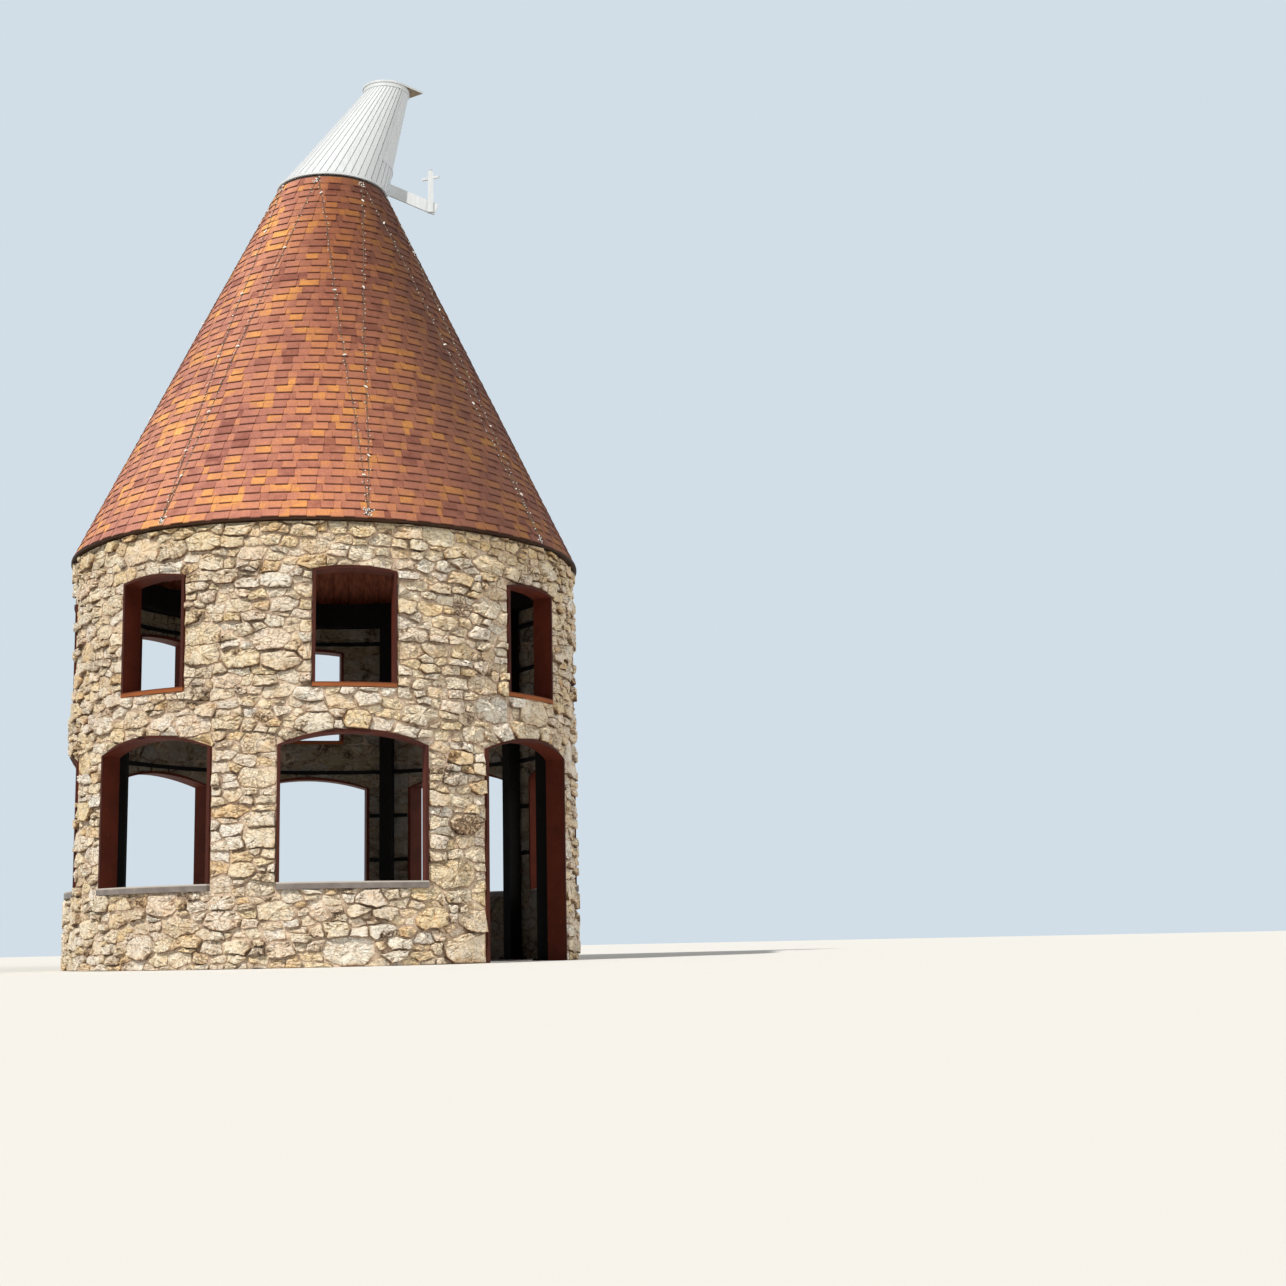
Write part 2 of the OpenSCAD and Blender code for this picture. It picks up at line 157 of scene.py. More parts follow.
class OastStageSettings(bpy.types.PropertyGroup):
    """Camera and light"""

    distance: bpy.props.FloatProperty(
        name="Distance", description="From the tower's axis to the eye", default=27.464, subtype="DISTANCE")
    eye: bpy.props.FloatProperty(name="Eye height", description="Height of the eye", default=0.265, subtype="DISTANCE")
    bearing: bpy.props.FloatProperty(
        name="Bearing", description="Angle of the eye from the front bay", default=math.radians(5.29), subtype="ANGLE")
    yaw: bpy.props.FloatProperty(
        name="Yaw", description="Turn of the view to the tower's right", default=math.radians(9.90), subtype="ANGLE")
    pitch: bpy.props.FloatProperty(
        name="Pitch", description="Tilt of the view upwards", default=math.radians(9.24), subtype="ANGLE")
    roll: bpy.props.FloatProperty(
        name="Roll", description="Roll of the view", default=math.radians(-1.19), subtype="ANGLE")
    lens: bpy.props.FloatProperty(
        name="Lens", description="Focal length on a 36 mm sensor", default=51.02, min=10, max=200)
    floor: bpy.props.FloatVectorProperty(
        name="Floor", description="Colour of the floor", default=(0.80, 0.80, 0.79),
        subtype="COLOR", size=3, min=0, max=1)
    backdrop: bpy.props.FloatVectorProperty(
        name="Backdrop", description="Colour behind the tower", default=(0.64, 0.73, 0.80),
        subtype="COLOR", size=3, min=0, max=1)
    key: bpy.props.FloatProperty(name="Key", description="Strength of the main light", default=3.60, min=0, max=10)
    side: bpy.props.FloatProperty(
        name="Side light", description="Strength of the soft light from the right", default=1.15, min=0, max=10)
    fill: bpy.props.FloatProperty(
        name="Fill", description="Strength of the light from all round", default=0.185, min=0, max=3)


# ---------------------------------------------------------------- nodes and meshes


def rgba(colour):
    """A colour or a grey level with full opacity."""
    return (*(colour if hasattr(colour, "__len__") else (colour,) * 3), 1)


def scaled(colour, factor):
    return tuple(min(1, factor * v) for v in colour)


class Nodes:
    """Adds nodes to a tree and joins them."""

    def __init__(self, tree):
        self.tree = tree

    def add(self, kind, inputs=None, **settings):
        node = self.tree.nodes.new(kind)
        for key, value in settings.items():
            setattr(node, key, value)
        for key, value in (inputs or {}).items():
            self.feed(node.inputs[key], value)
        return node

    def out(self, kind, inputs=None, **settings):
        """The first output of a new node."""
        return self.add(kind, inputs, **settings).outputs[0]

    def feed(self, socket, value):
        if isinstance(value, bpy.types.NodeSocket):
            self.tree.links.new(value, socket)
        else:
            socket.default_value = rgba(value) if socket.type == "RGBA" else value

    def math(self, operation, a, b=0.0):
        return self.out("ShaderNodeMath", {0: a, 1: b}, operation=operation)

    def mul(self, a, b):
        return self.math("MULTIPLY", a, b)

    def plus(self, a, b):
        return self.math("ADD", a, b)

    def minus(self, a, b):
        return self.math("SUBTRACT", a, b)

    def scale(self, vector, factor):
        return self.out("ShaderNodeVectorMath", {0: vector, "Scale": factor}, operation="SCALE")

    def xyz(self, x, y, z):
        return self.out("ShaderNodeCombineXYZ", {"X": x, "Y": y, "Z": z})

    def split(self, vector):
        return self.add("ShaderNodeSeparateXYZ", {"Vector": vector}).outputs

    def between(self, value, low, high, first=0.0, last=1.0):
        """From first at low to last at high, level beyond them."""
        return self.out("ShaderNodeMapRange", {
            "Value": value, "From Min": low, "From Max": high, "To Min": first, "To Max": last})


class Finish(Nodes):
    """A material made of nodes on Object coordinates."""

    def __init__(self, name):
        self.material = bpy.data.materials.new(name)
        self.material.use_nodes = True
        super().__init__(self.material.node_tree)
        self.tree.nodes.clear()
        self.point = self.add("ShaderNodeTexCoord").outputs["Object"]
        self.shader = self.add("ShaderNodeBsdfPrincipled")
        self.add("ShaderNodeOutputMaterial", {"Surface": self.shader.outputs[0]})

    def done(self, colour, roughness, normal=None, **fixed):
        """Feeds the shader and gives the finished material."""
        self.feed(self.shader.inputs["Base Color"], colour)
        self.feed(self.shader.inputs["Roughness"], roughness)
        if normal is not None:
            self.feed(self.shader.inputs["Normal"], normal)
        for key, value in fixed.items():
            self.shader.inputs[key].default_value = value
        return self.material

    def mix(self, a, b, factor, blend="MIX"):
        node = self.add("ShaderNodeMix", data_type="RGBA", blend_type=blend)
        for index, value in ((0, factor), (6, a), (7, b)):
            self.feed(node.inputs[index], value)
        return node.outputs[2]

    def shade(self, colour, by, factor=1.0):
        return self.mix(colour, by, factor, "MULTIPLY")

    def ramp(self, factor, *stops):
        """A colour ramp through pairs of a place and a colour or grey level."""
        node = self.add("ShaderNodeValToRGB", {"Fac": factor})
        elements = node.color_ramp.elements
        while len(elements) < len(stops):
            elements.new(0.5)
        for element, (at, colour) in zip(elements, stops):
            element.position = at
            element.color = rgba(colour)
        return node.outputs["Color"]

    def noise(self, scale, detail=4.0, rough=0.55, vector=None):
        vector = self.point if vector is None else vector
        return self.add("ShaderNodeTexNoise", {
            "Vector": vector, "Scale": scale, "Detail": detail, "Roughness": rough}).outputs["Fac"]

    def cells(self, vector, scale):
        """A random grey level for each cell."""
        cell = self.add("ShaderNodeTexVoronoi", {"Vector": vector, "Scale": scale}).outputs["Color"]
        return self.out("ShaderNodeSeparateColor", {"Color": cell})

    def bump(self, height, distance, strength=1.0, normal=None):
        inputs = {"Height": height, "Distance": distance, "Strength": strength}
        if normal is not None:
            inputs["Normal"] = normal
        return self.out("ShaderNodeBump", inputs)

    def layer(self, name):
        return self.add("ShaderNodeAttribute", attribute_name=name).outputs["Fac"]

    def stretched(self, x, y, z):
        return self.out("ShaderNodeMapping", {"Vector": self.point, "Scale": (x, y, z)})

    def height(self, low, high):
        """0 below the height low, 1 above high."""
        return self.between(self.split(self.point)["Z"], low, high)

    def flat(self):
        return self.out("ShaderNodeVectorMath", {0: self.point, 1: (1, 1, 0)}, operation="MULTIPLY")

    def radius(self):
        """Distance from the tower's axis."""
        return self.add("ShaderNodeVectorMath", {0: self.flat()}, operation="LENGTH").outputs["Value"]


def dress(material, *nodes):
    """Gives CAD nodes their material."""
    for node in nodes:
        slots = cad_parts[node].data.materials
        if not slots:
            slots.append(material)
        for i in range(len(slots)):
            slots[i] = material


def show(name, data):
    """A new object in the scene."""
    thing = bpy.data.objects.new(name, data)
    bpy.context.scene.collection.objects.link(thing)
    return thing


def settle(mesh, name, body):
    """Puts a mesh into the scene as a piece that rides on a body."""
    piece = show(name, mesh)
    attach(piece, body)
    return piece


def add_mesh(name, points, faces, material, body, tones=None, open_points=None):
    """Makes a piece of points and faces, with a tone for each face and how open each point lies, for painted shade."""
    mesh = bpy.data.meshes.new(name)
    mesh.from_pydata(points, [], faces)
    mesh.materials.append(material)
    for label, values, domain in (("tone", tones, "FACE"), ("open", open_points, "POINT")):
        if values is not None:
            mesh.attributes.new(label, "FLOAT", domain).data.foreach_set("value", values)
    mesh.polygons.foreach_set("use_smooth", [False] * len(mesh.polygons))
    mesh.update()
    return settle(mesh, name, body)


# ---------------------------------------------------------------- materials


def stone_material(wall, name, dim):
    n = Finish(name)
    tone = n.layer("tone")
    base = n.ramp(
        tone, (0.0, wall.grey), (0.09, (0.68, 0.52, 0.35)), (0.22, wall.pale), (0.36, (0.90, 0.71, 0.43)),
        (0.48, (0.99, 0.97, 0.93)), (0.62, (0.88, 0.70, 0.55)), (0.74, (0.97, 0.93, 0.84)), (0.84, (0.93, 0.74, 0.42)),
        (0.91, wall.ochre), (0.96, (0.60, 0.44, 0.26)), (1.0, (0.86, 0.86, 0.83)))
    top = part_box("wall_front")[1][2]
    base = n.shade(base, (1.0, 0.91, 0.70), n.height(top - 0.5, top - 0.1))
    mottle = n.noise(6.5, 6, 0.68)
    base = n.mix(base, n.ramp(
        mottle, (0.32, (0.40, 0.28, 0.16)), (0.46, (0.88, 0.75, 0.55)), (0.62, (1.0, 0.96, 0.86))), 0.42)
    stain = n.ramp(n.noise(1.4, 5, 0.7), (0.54, 0.0), (0.74, 1.0))
    base = n.mix(base, (0.52, 0.35, 0.18), n.mul(stain, 0.35))
    # splits and chips, flatter than wide
    wander = n.add("ShaderNodeTexNoise", {"Vector": n.point, "Scale": 9.0, "Detail": 3.0}).outputs["Color"]
    bent = n.out("ShaderNodeVectorMath", {0: n.stretched(1, 1, 1.7), 1: n.scale(wander, 0.12)}, operation="ADD")
    crack = n.add("ShaderNodeTexVoronoi", {"Vector": bent, "Scale": 13.0}, feature="DISTANCE_TO_EDGE")
    crack = n.ramp(crack.outputs["Distance"], (0.0, 0.0), (0.055, 1.0))
    crack = n.math("MAXIMUM", crack, n.ramp(n.noise(3.1, 4), (0.46, 0.0), (0.60, 1.0)))
    base = n.mix(n.mix(base, (0.17, 0.10, 0.055), 0.72), base, crack)
    chips = n.cells(bent, 27.0)
    base = n.shade(base, n.ramp(chips, (0.0, 0.58), (0.35, 0.96), (1.0, 1.12)), 0.40)
    # clusters of dark, pitted stones
    some = n.ramp(n.math("FLOORED_MODULO", n.mul(tone, 37.0), 1.0), (0.45, 0.0), (0.6, 1.0))
    knobs = n.mul(n.ramp(n.noise(1.9, 3, 0.6), (0.55, 0.0), (0.63, 1.0)), some)
    pits = n.ramp(n.minus(n.noise(30, 3, 0.6), n.mul(knobs, 0.15)), (0.33, 0.0), (0.41, 1.0))
    base = n.mix(n.mix(base, (0.11, 0.065, 0.035), n.plus(0.34, n.mul(knobs, 0.5))), base, pits)
    base = n.mix(base, n.shade(base, (0.66, 0.56, 0.46), 0.75), knobs)
    # painted shade: darker in the clefts, towards the joints and most under each stone's lower edge, as if in shadow;
    # earth in the clefts too
    clear = n.plus(n.layer("open"), n.mul(n.minus(mottle, 0.5), 0.9))
    base = n.shade(base, n.ramp(clear, (0.10, (0.17, 0.105, 0.062)), (0.47, (0.72, 0.64, 0.56)), (0.78, 1.0)))
    # the darker parts are lifted, and the palest stay below white
    red = n.out("ShaderNodeSeparateColor", {"Color": base})
    # dim below 1 darkens the inner stones as painted shade of the tower's inside
    base = n.scale(base, n.between(red, 0.55, 0.95, 1.38 * dim, 1.05 * dim))
    height = n.plus(n.mul(crack, 0.5), n.mul(n.noise(24, 6, 0.72), 1.2))
    height = n.plus(n.plus(height, n.mul(chips, 0.35)), n.mul(pits, 0.5))
    return n.done(base, n.ramp(mottle, (0.3, 0.97), (0.8, 0.82)), n.bump(height, 0.036))


def mortar_material(wall):
    n = Finish("mortar_bed")
    rough = n.noise(26, 6, 0.7)
    bed = n.ramp(n.noise(3.0, 5), (0.39, (0.145, 0.088, 0.05)), (0.49, (0.55, 0.42, 0.31)), (0.69, (0.84, 0.68, 0.54)))
    colour = n.mix(wall.mortar, bed, 0.78)
    colour = n.shade(colour, n.ramp(rough, (0.36, 0.42), (0.54, 1.0)), 0.8)
    # painted shade: dark on the inner side of the wall, where the inside of the tower lies in shade
    colour = n.shade(colour, n.ramp(n.mul(n.radius(), 0.25), (0.84, 0.09), (0.86, 1.0)))
    return n.done(colour, 0.95, n.bump(rough, 0.020))


def painted_steel(name, colour, wear_and_painted_light, roughness, rim=None, rust=None, sheen=0.3):
    """Brushed paint, darker outside the radius rim as painted shade with some dirt, and rusty between the heights rust.
    """
    n = Finish(name)
    cloud = n.noise(2.4, 6, 0.65)
    fine = n.noise(42, 4, 0.6)
    base = n.mix(colour, n.ramp(cloud, (0.35, scaled(colour, 0.62)), (0.68, scaled(colour, 1.35))), 0.6)
    speck = n.ramp(n.noise(15, 7, 0.75), (0.60, 0.0), (0.70, 1.0))
    base = n.mix(base, wear_and_painted_light, n.mul(speck, 0.6))
    if rim is not None:
        # painted shade, with some dirt: the front edge of a lining, outside the radius rim, is darkened
        base = n.mix(base, (0.035, 0.0121, 0.0095), n.mul(n.between(n.radius(), rim - 0.020, rim - 0.010), 0.72))
    if rust is not None:
        lying = n.minus(n.height(rust[0], rust[0] + 0.01), n.height(rust[1], rust[1] + 0.03))
        base = n.mix(base, n.mix((0.446, 0.142, 0.041), (0.162, 0.049, 0.0189), cloud), n.mul(lying, 0.85))
    gloss = n.ramp(fine, (0.3, roughness - 0.08), (0.7, roughness + 0.12))
    return n.done(base, gloss, n.bump(n.plus(fine, n.mul(speck, -0.5)), 0.0018, 0.7), **{"Specular IOR Level": sheen})


def slate_material():
    n = Finish("counter_slate")
    cloud = n.noise(3.5, 7, 0.65)
    fine = n.noise(70, 3, 0.6)
    colour = n.ramp(cloud, (0.32, (0.135, 0.121, 0.111)), (0.55, (0.230, 0.209, 0.189)), (0.75, (0.365, 0.324, 0.284)))
    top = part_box("bar_counters")[1][2]
    # painted shade on the counter's front; its top and upper edge stay lighter, partly wear and partly painted light
    wear_and_painted_light = n.mix(colour, (0.594, 0.553, 0.499), 0.6)
    colour = n.mix(n.shade(colour, (0.80, 0.76, 0.77)), wear_and_painted_light, n.height(top - 0.024, top - 0.012))
    return n.done(colour, n.ramp(fine, (0.3, 0.38), (0.7, 0.62)), n.bump(n.plus(cloud, fine), 0.003, 0.6))


def timber_material(name, dark, light, along="Z"):
    n = Finish(name)
    lengthwise = n.stretched(*(0.7 if axis == along else 9 for axis in "XYZ"))
    grain = n.noise(2.2, 7, 0.62, lengthwise)
    fine = n.noise(13, 3, 0.6, lengthwise)
    colour = n.shade(n.ramp(grain, (0.30, dark), (0.70, light)), n.ramp(fine, (0.35, 0.6), (0.65, 1.0)), 0.55)
    return n.done(colour, n.ramp(fine, (0.3, 0.55), (0.7, 0.8)), n.bump(n.plus(grain, fine), 0.003, 0.7))


def shingle_material(roof):
    n = Finish("roof_shingles")
    # colours drift in patches over the roof, with a smaller change from tab to tab
    patch = n.ramp(n.noise(1.5, 5, 0.7, n.stretched(1, 1, 1.5)), (0.32, 0.0), (0.68, 1.0))
    base = n.ramp(
        n.plus(n.mul(patch, 0.50), n.mul(n.layer("tone"), 0.56)),
        (0.12, (0.32, 0.109, 0.076)), (0.30, (0.475, 0.189, 0.129)), (0.50, roof.red),
        (0.68, (0.661, 0.277, 0.146)), (0.80, (0.745, 0.336, 0.117)), (0.95, roof.orange))
    weather = n.ramp(n.noise(0.55, 4, 0.6), (0.35, (0.79, 0.71, 0.70)), (0.65, (1.0, 0.955, 0.82)))
    base = n.shade(base, weather, 0.9)
    # painted light and shade: lighter on the left side, where the light falls, darker to the right and, away from the
    # left, towards the top
    side = n.split(n.out("ShaderNodeVectorMath", {0: n.flat()}, operation="NORMALIZE"))["X"]
    wear_and_painted_light = n.between(side, -0.8, -0.1)
    base = n.shade(base, n.mix((1.06, 1.19, 1.42), 1.0, wear_and_painted_light))
    base = n.shade(base, (0.50, 0.42, 0.34), n.mul(wear_and_painted_light, n.height(6.4, 10.6)))
    base = n.shade(base, 0.37, n.between(side, -0.15, 0.55))
    granule = n.cells(n.point, 210.0)
    base = n.shade(base, n.ramp(granule, (0.0, 0.50), (0.5, 0.95), (1.0, 1.35)), 0.70)
    # painted shadow, partly standing for the dark band printed on laminated shingles: the butt of each tab and the rim
    # above it are dark, more so on a raised tab, and so are the tab's sides
    rim = n.ramp(n.layer("along"), (0.065, 1.0), (0.15, 0.0))
    rim = n.mul(rim, n.plus(n.mul(n.layer("raised"), 0.42), 0.52))
    upright = n.ramp(n.math("ABSOLUTE", n.layer("across")), (0.47, 0.0), (0.495, 0.24))
    base = n.mix(base, (0.081, 0.0189, 0.0068), n.math("MAXIMUM", rim, upright))
    return n.done(base, 0.93, n.bump(granule, 0.0022, 0.8))


def board_seams(n, boards):
    """0 in the seams between the boards of the leaning cowl, 1 away from them."""
    foot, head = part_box("cowl_ring"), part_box("cowl_hoop")
    z0, z1 = foot[0][2], head[0][2]
    cx, cy = 0.5 * (head[0][0] + head[1][0]), 0.5 * (head[0][1] + head[1][1])
    x, y, z = n.split(n.point)
    t = n.math("DIVIDE", n.minus(z, z0), z1 - z0)
    x, y = n.minus(x, n.mul(t, cx)), n.minus(y, n.mul(t, cy))
    r = n.math("SQRT", n.plus(n.mul(x, x), n.mul(y, y)))
    k = n.mul(n.minus(n.math("ARCTAN2", y, x), math.atan2(cy, cx)), boards / TAU)
    off = n.math("ABSOLUTE", n.minus(n.math("FLOORED_MODULO", k, 1.0), 0.5))
    return n.between(n.mul(n.mul(off, r), TAU / boards), 0.0025, 0.0075)


def painted_boards(cowl, name, seams=False):
    n = Finish(name)
    lengthwise = n.stretched(11, 11, 1.1)
    grain = n.noise(3.0, 6, 0.6, lengthwise)
    paint = cowl.paint
    colour = n.mix(paint, n.ramp(grain, (0.35, scaled(paint, 0.86)), (0.65, scaled(paint, 1.05))), 0.7)
    dirt = n.mul(n.ramp(n.noise(0.8, 5, 0.7, lengthwise), (0.55, 0.0), (0.8, 1.0)), 0.22)
    colour = n.mix(colour, (0.675, 0.661, 0.621), dirt)
    normal = n.bump(grain, 0.002, 0.6)
    if seams:
        between = board_seams(n, cowl.boards)
        # painted shade: the seams between the boards are drawn grey, as the shade in their grooves
        colour = n.mix((0.553, 0.587, 0.628), colour, between)
        normal = n.bump(between, 0.008, 1.0, normal)
    return n.done(colour, n.ramp(grain, (0.3, 0.42), (0.7, 0.6)), normal)


def cap_material(cowl):
    """Painted above, weathered wood below."""
    n = Finish("cap_boards")
    up = n.split(n.add("ShaderNodeNewGeometry").outputs["Normal"])["Z"]
    grain = n.noise(3.0, 6, vector=n.stretched(1.5, 14, 14))
    top = n.ramp(grain, (0.35, scaled(cowl.paint, 0.88)), (0.65, cowl.paint))
    low = n.ramp(grain, (0.3, (0.115, 0.078, 0.046)), (0.7, (0.270, 0.196, 0.115)))
    return n.done(n.mix(top, low, n.math("LESS_THAN", up, -0.5)), 0.55, n.bump(grain, 0.002, 0.6))


def plain_material(name, colour, roughness, **fixed):
    n = Finish(name)
    cloud = n.noise(30.0, 4, 0.6)
    colour = n.mix(colour, n.ramp(cloud, (0.3, scaled(colour, 0.7)), (0.7, scaled(colour, 1.2))), 0.7)
    return n.done(colour, roughness, n.bump(cloud, 0.001, 0.5), **fixed)


# ---------------------------------------------------------------- stones

# the stones' heights as shares of the usual one, and how often each is tried on 90 square metres of wall
STONE_SIZES = ((2.6, 60), (1.9, 300), (1.35, 1300), (0.95, 6000), (0.64, 20000), (0.44, 26000))
STONE_GAP = 0.004  # from the stones to the steel and the beams
SMALLEST_STONE = 0.0005  # in square metres
STONE_BACK = -0.010  # how deep the stones sit in the mortar
RIPPLE_SEED = 11  # of the vectors that bend the joints; without it they follow the clock

# both faces of the wall. Rings: how far out of a stone's middle and how high the rings of its points lie
OUTER = {
    "pieces": "stones_", "finish": "rubble_limestone", "dim": 1.0, "under": "eave_drip", "side": 1, "coarse": 1.0,
    "step": 0.028, "most": 0.075, "salt": 0, "rings": ((0.985, 0.42), (0.90, 0.80), (0.70, 0.97), (0.36, 1.0))}
# the inner face's stones are dimmed as painted shade of the tower's inside
INNER = {
    "pieces": "inner_stones_", "finish": "inner_rubble", "dim": 0.36, "under": "ring_beam", "side": -1, "coarse": 1.25,
    "step": 0.05, "most": 0.034, "salt": 7, "rings": ((0.97, 0.75), (0.62, 1.0))}


def edges(outline):
    return zip(outline, outline[1:] + outline[:1])


def opening_outline(half, low, spring, crown, radius, steps=8):
    """Outline of an opening on the wall's unrolled face, anticlockwise: pairs of arc length and height."""
    rise = crown - spring
    big = (half * half + rise * rise) / (2 * rise)
    out = [(-half, low), (half, low)]
    for i in range(steps + 1):
        x = half * math.cos(math.pi * i / steps)
        out.append((x, crown - big + math.sqrt(max(0.0, big * big - x * x))))
    return [(radius * math.asin(x / radius), z) for x, z in out]


def clip(outline, px, pz, nx, nz):
    """Keeps the part of a convex outline on the far side of the line through p against the normal n."""
    kept = []
    for (ax, az), (bx, bz) in edges(outline):
        da = (ax - px) * nx + (az - pz) * nz
        db = (bx - px) * nx + (bz - pz) * nz
        if da <= 0:
            kept.append((ax, az))
        if (da < 0 < db) or (db < 0 < da):
            f = da / (da - db)
            kept.append((ax + (bx - ax) * f, az + (bz - az) * f))
    return kept


def facing_edge(outline, x, z):
    """The edge that the point lies farthest outside of: its distance, start and outward normal."""
    best = None
    for (ax, az), (bx, bz) in edges(outline):
        length = math.hypot(bx - ax, bz - az)
        nx, nz = (bz - az) / length, -(bx - ax) / length
        d = (x - ax) * nx + (z - az) * nz
        if best is None or d > best[0]:
            best = (d, ax, az, nx, nz)
    return best


def ripple(point):
    """Shift of a point of the wall, in arc and height, that bends the joints between the stones."""
    coarse, fine = noise.noise_vector(point / 0.16), noise.noise_vector(point / 0.05)
    return 0.028 * coarse.x + 0.014 * fine.x, 0.024 * coarse.y + 0.014 * fine.y


def scatter_sites(rng, wide, top, openings, size, stretch, length):
    """Centres and heights of the stones, the largest first, drawn towards level beds."""
    columns = max(3, int(wide / (2.6 * size)))
    cell = wide / columns
    buckets, sites = {}, []

    def near(x, z, reach):
        n = int(reach / cell) + 1
        cx, cz = int(x / cell) % columns, int(z / cell)
        for i in range(-n, n + 1):
            for j in range(-n, n + 1):
                for s in buckets.get(((cx + i) % columns, cz + j), ()):
                    yield (s[0] - x + wide / 2) % wide - wide / 2, s[1] - z, s

    def in_opening(x, z, d):
        return any(facing_edge(outline, (x * stretch - centre + length / 2) % length - length / 2, z)[0] < 0.30 * d
                   for centre, outline in openings)

    for share, tries in STONE_SIZES:
        d = share * size
        for _ in range(int(tries * wide * top / 90)):
            x, z = rng.uniform(0, wide), rng.uniform(0.25 * d, top - 0.2 * d)
            z += rng.choice((0.0, 0.7)) * (round(z / size) * size - z)
            if in_opening(x, z, d):
                continue
            if all(dx ** 4 + dz ** 4 > (0.47 * (d + s[2])) ** 4 for dx, dz, s in near(x, z, 1.8 * size)):
                sites.append((x, z, d))
                buckets.setdefault((int(x / cell) % columns, int(z / cell)), []).append(sites[-1])
    return sites, near


def bedding(dx, dz, x, z):
    """Direction across the joint between two stones, turned towards level beds and upright joints."""
    tilt = 0.75 * noise.noise(Vector((x / 0.45, z / 0.45, 2.5)))
    turn = math.atan2(dz, dx)
    square = tilt + math.pi / 2 * round((turn - tilt) / (math.pi / 2))
    turn += 0.30 * (square - turn)
    return math.cos(turn), math.sin(turn)


def inset(outline, rng, joint):
    """Draws each edge of a convex outline in by an uneven part of the joint."""
    inner = outline
    for (ax, az), (bx, bz) in edges(outline):
        run = math.hypot(bx - ax, bz - az)
        if run < 1e-6:
            continue
        nx, nz = (bz - az) / run, -(bx - ax) / run
        g = joint * (0.12 + 1.25 * rng.random() ** 2.2)
        inner = clip(inner, ax - nx * g, az - nz * g, nx, nz)
        if len(inner) < 3:
            return []
    return inner


def sampled(outline, step):
    """The outline with points no farther apart than the step, and its shortest edges dropped."""
    out = []
    for (ax, az), (bx, bz) in edges(outline):
        run = math.hypot(bx - ax, bz - az)
        if run < 0.25 * step:
            continue
        n = max(1, round(run / step))
        out += [(ax + (bx - ax) * k / n, az + (bz - az) * k / n) for k in range(n)]
    return out


def stone_outline(x, z, d, near, size):
    """The share of the wall that is nearest to one stone's centre, round that centre."""
    w, h = 1.8 * d, 1.5 * d
    outline = [(-w, -h), (w, -h), (w, h), (-w, h)]
    around = ((dx * dx + dz * dz, dx, dz, s[2]) for dx, dz, s in near(x, z, 3.9 * size))
    for q, dx, dz, e in sorted(around, key=lambda other: other[0]):
        if q < 1e-9:
            continue
        if math.sqrt(q) > 2.6 * max(d, e) + 1.5 * size or len(outline) < 3:
            break
        at = 0.5 + 0.5 * (d * d - e * e) * 0.25 / q
        outline = clip(outline, dx * at, dz * at, *bedding(dx, dz, x + dx / 2, z + dz / 2))
    return outline


def lay_stones(rng, face, top, openings, size, stretch, joint, step):
    """Random rubble on a wall unrolled at the radius face: centre, outline and width of each stone."""
    length = TAU * face
    sites, near = scatter_sites(rng, length / stretch, top, openings, size, stretch, length)
    stones = []
    for x, z, d in sites:
        outline = stone_outline(x, z, d, near, size)
        if len(outline) < 3:
            continue
        cx = x * stretch
        outline = inset([(px * stretch, pz) for px, pz in outline], rng, joint)
        bent = []
        for px, pz in sampled(outline, step):
            a = (cx + px) / face
            du, dz = ripple(Vector(around(face, a, z + pz)))
            bent.append((px + du, pz + dz))
        if len(bent) < 3:
            continue
        bent = clip(bent, 0, 0.002 - z, 0, -1)
        bent = clip(bent, 0, top - z, 0, 1)
        for centre, opening in openings:
            off = (cx - centre + length / 2) % length - length / 2
            dist, ax, az, nx, nz = facing_edge(opening, off, z)
            if dist < 4.5 * size:
                bent = clip(bent, ax - off, az - z, -nx, -nz)
        if len(bent) < 3:
            continue
        area = 0.5 * abs(sum(a[0] * b[1] - b[0] * a[1] for a, b in edges(bent)))
        if area > SMALLEST_STONE:
            stones.append(((cx, z), bent, math.sqrt(area)))
    return stones


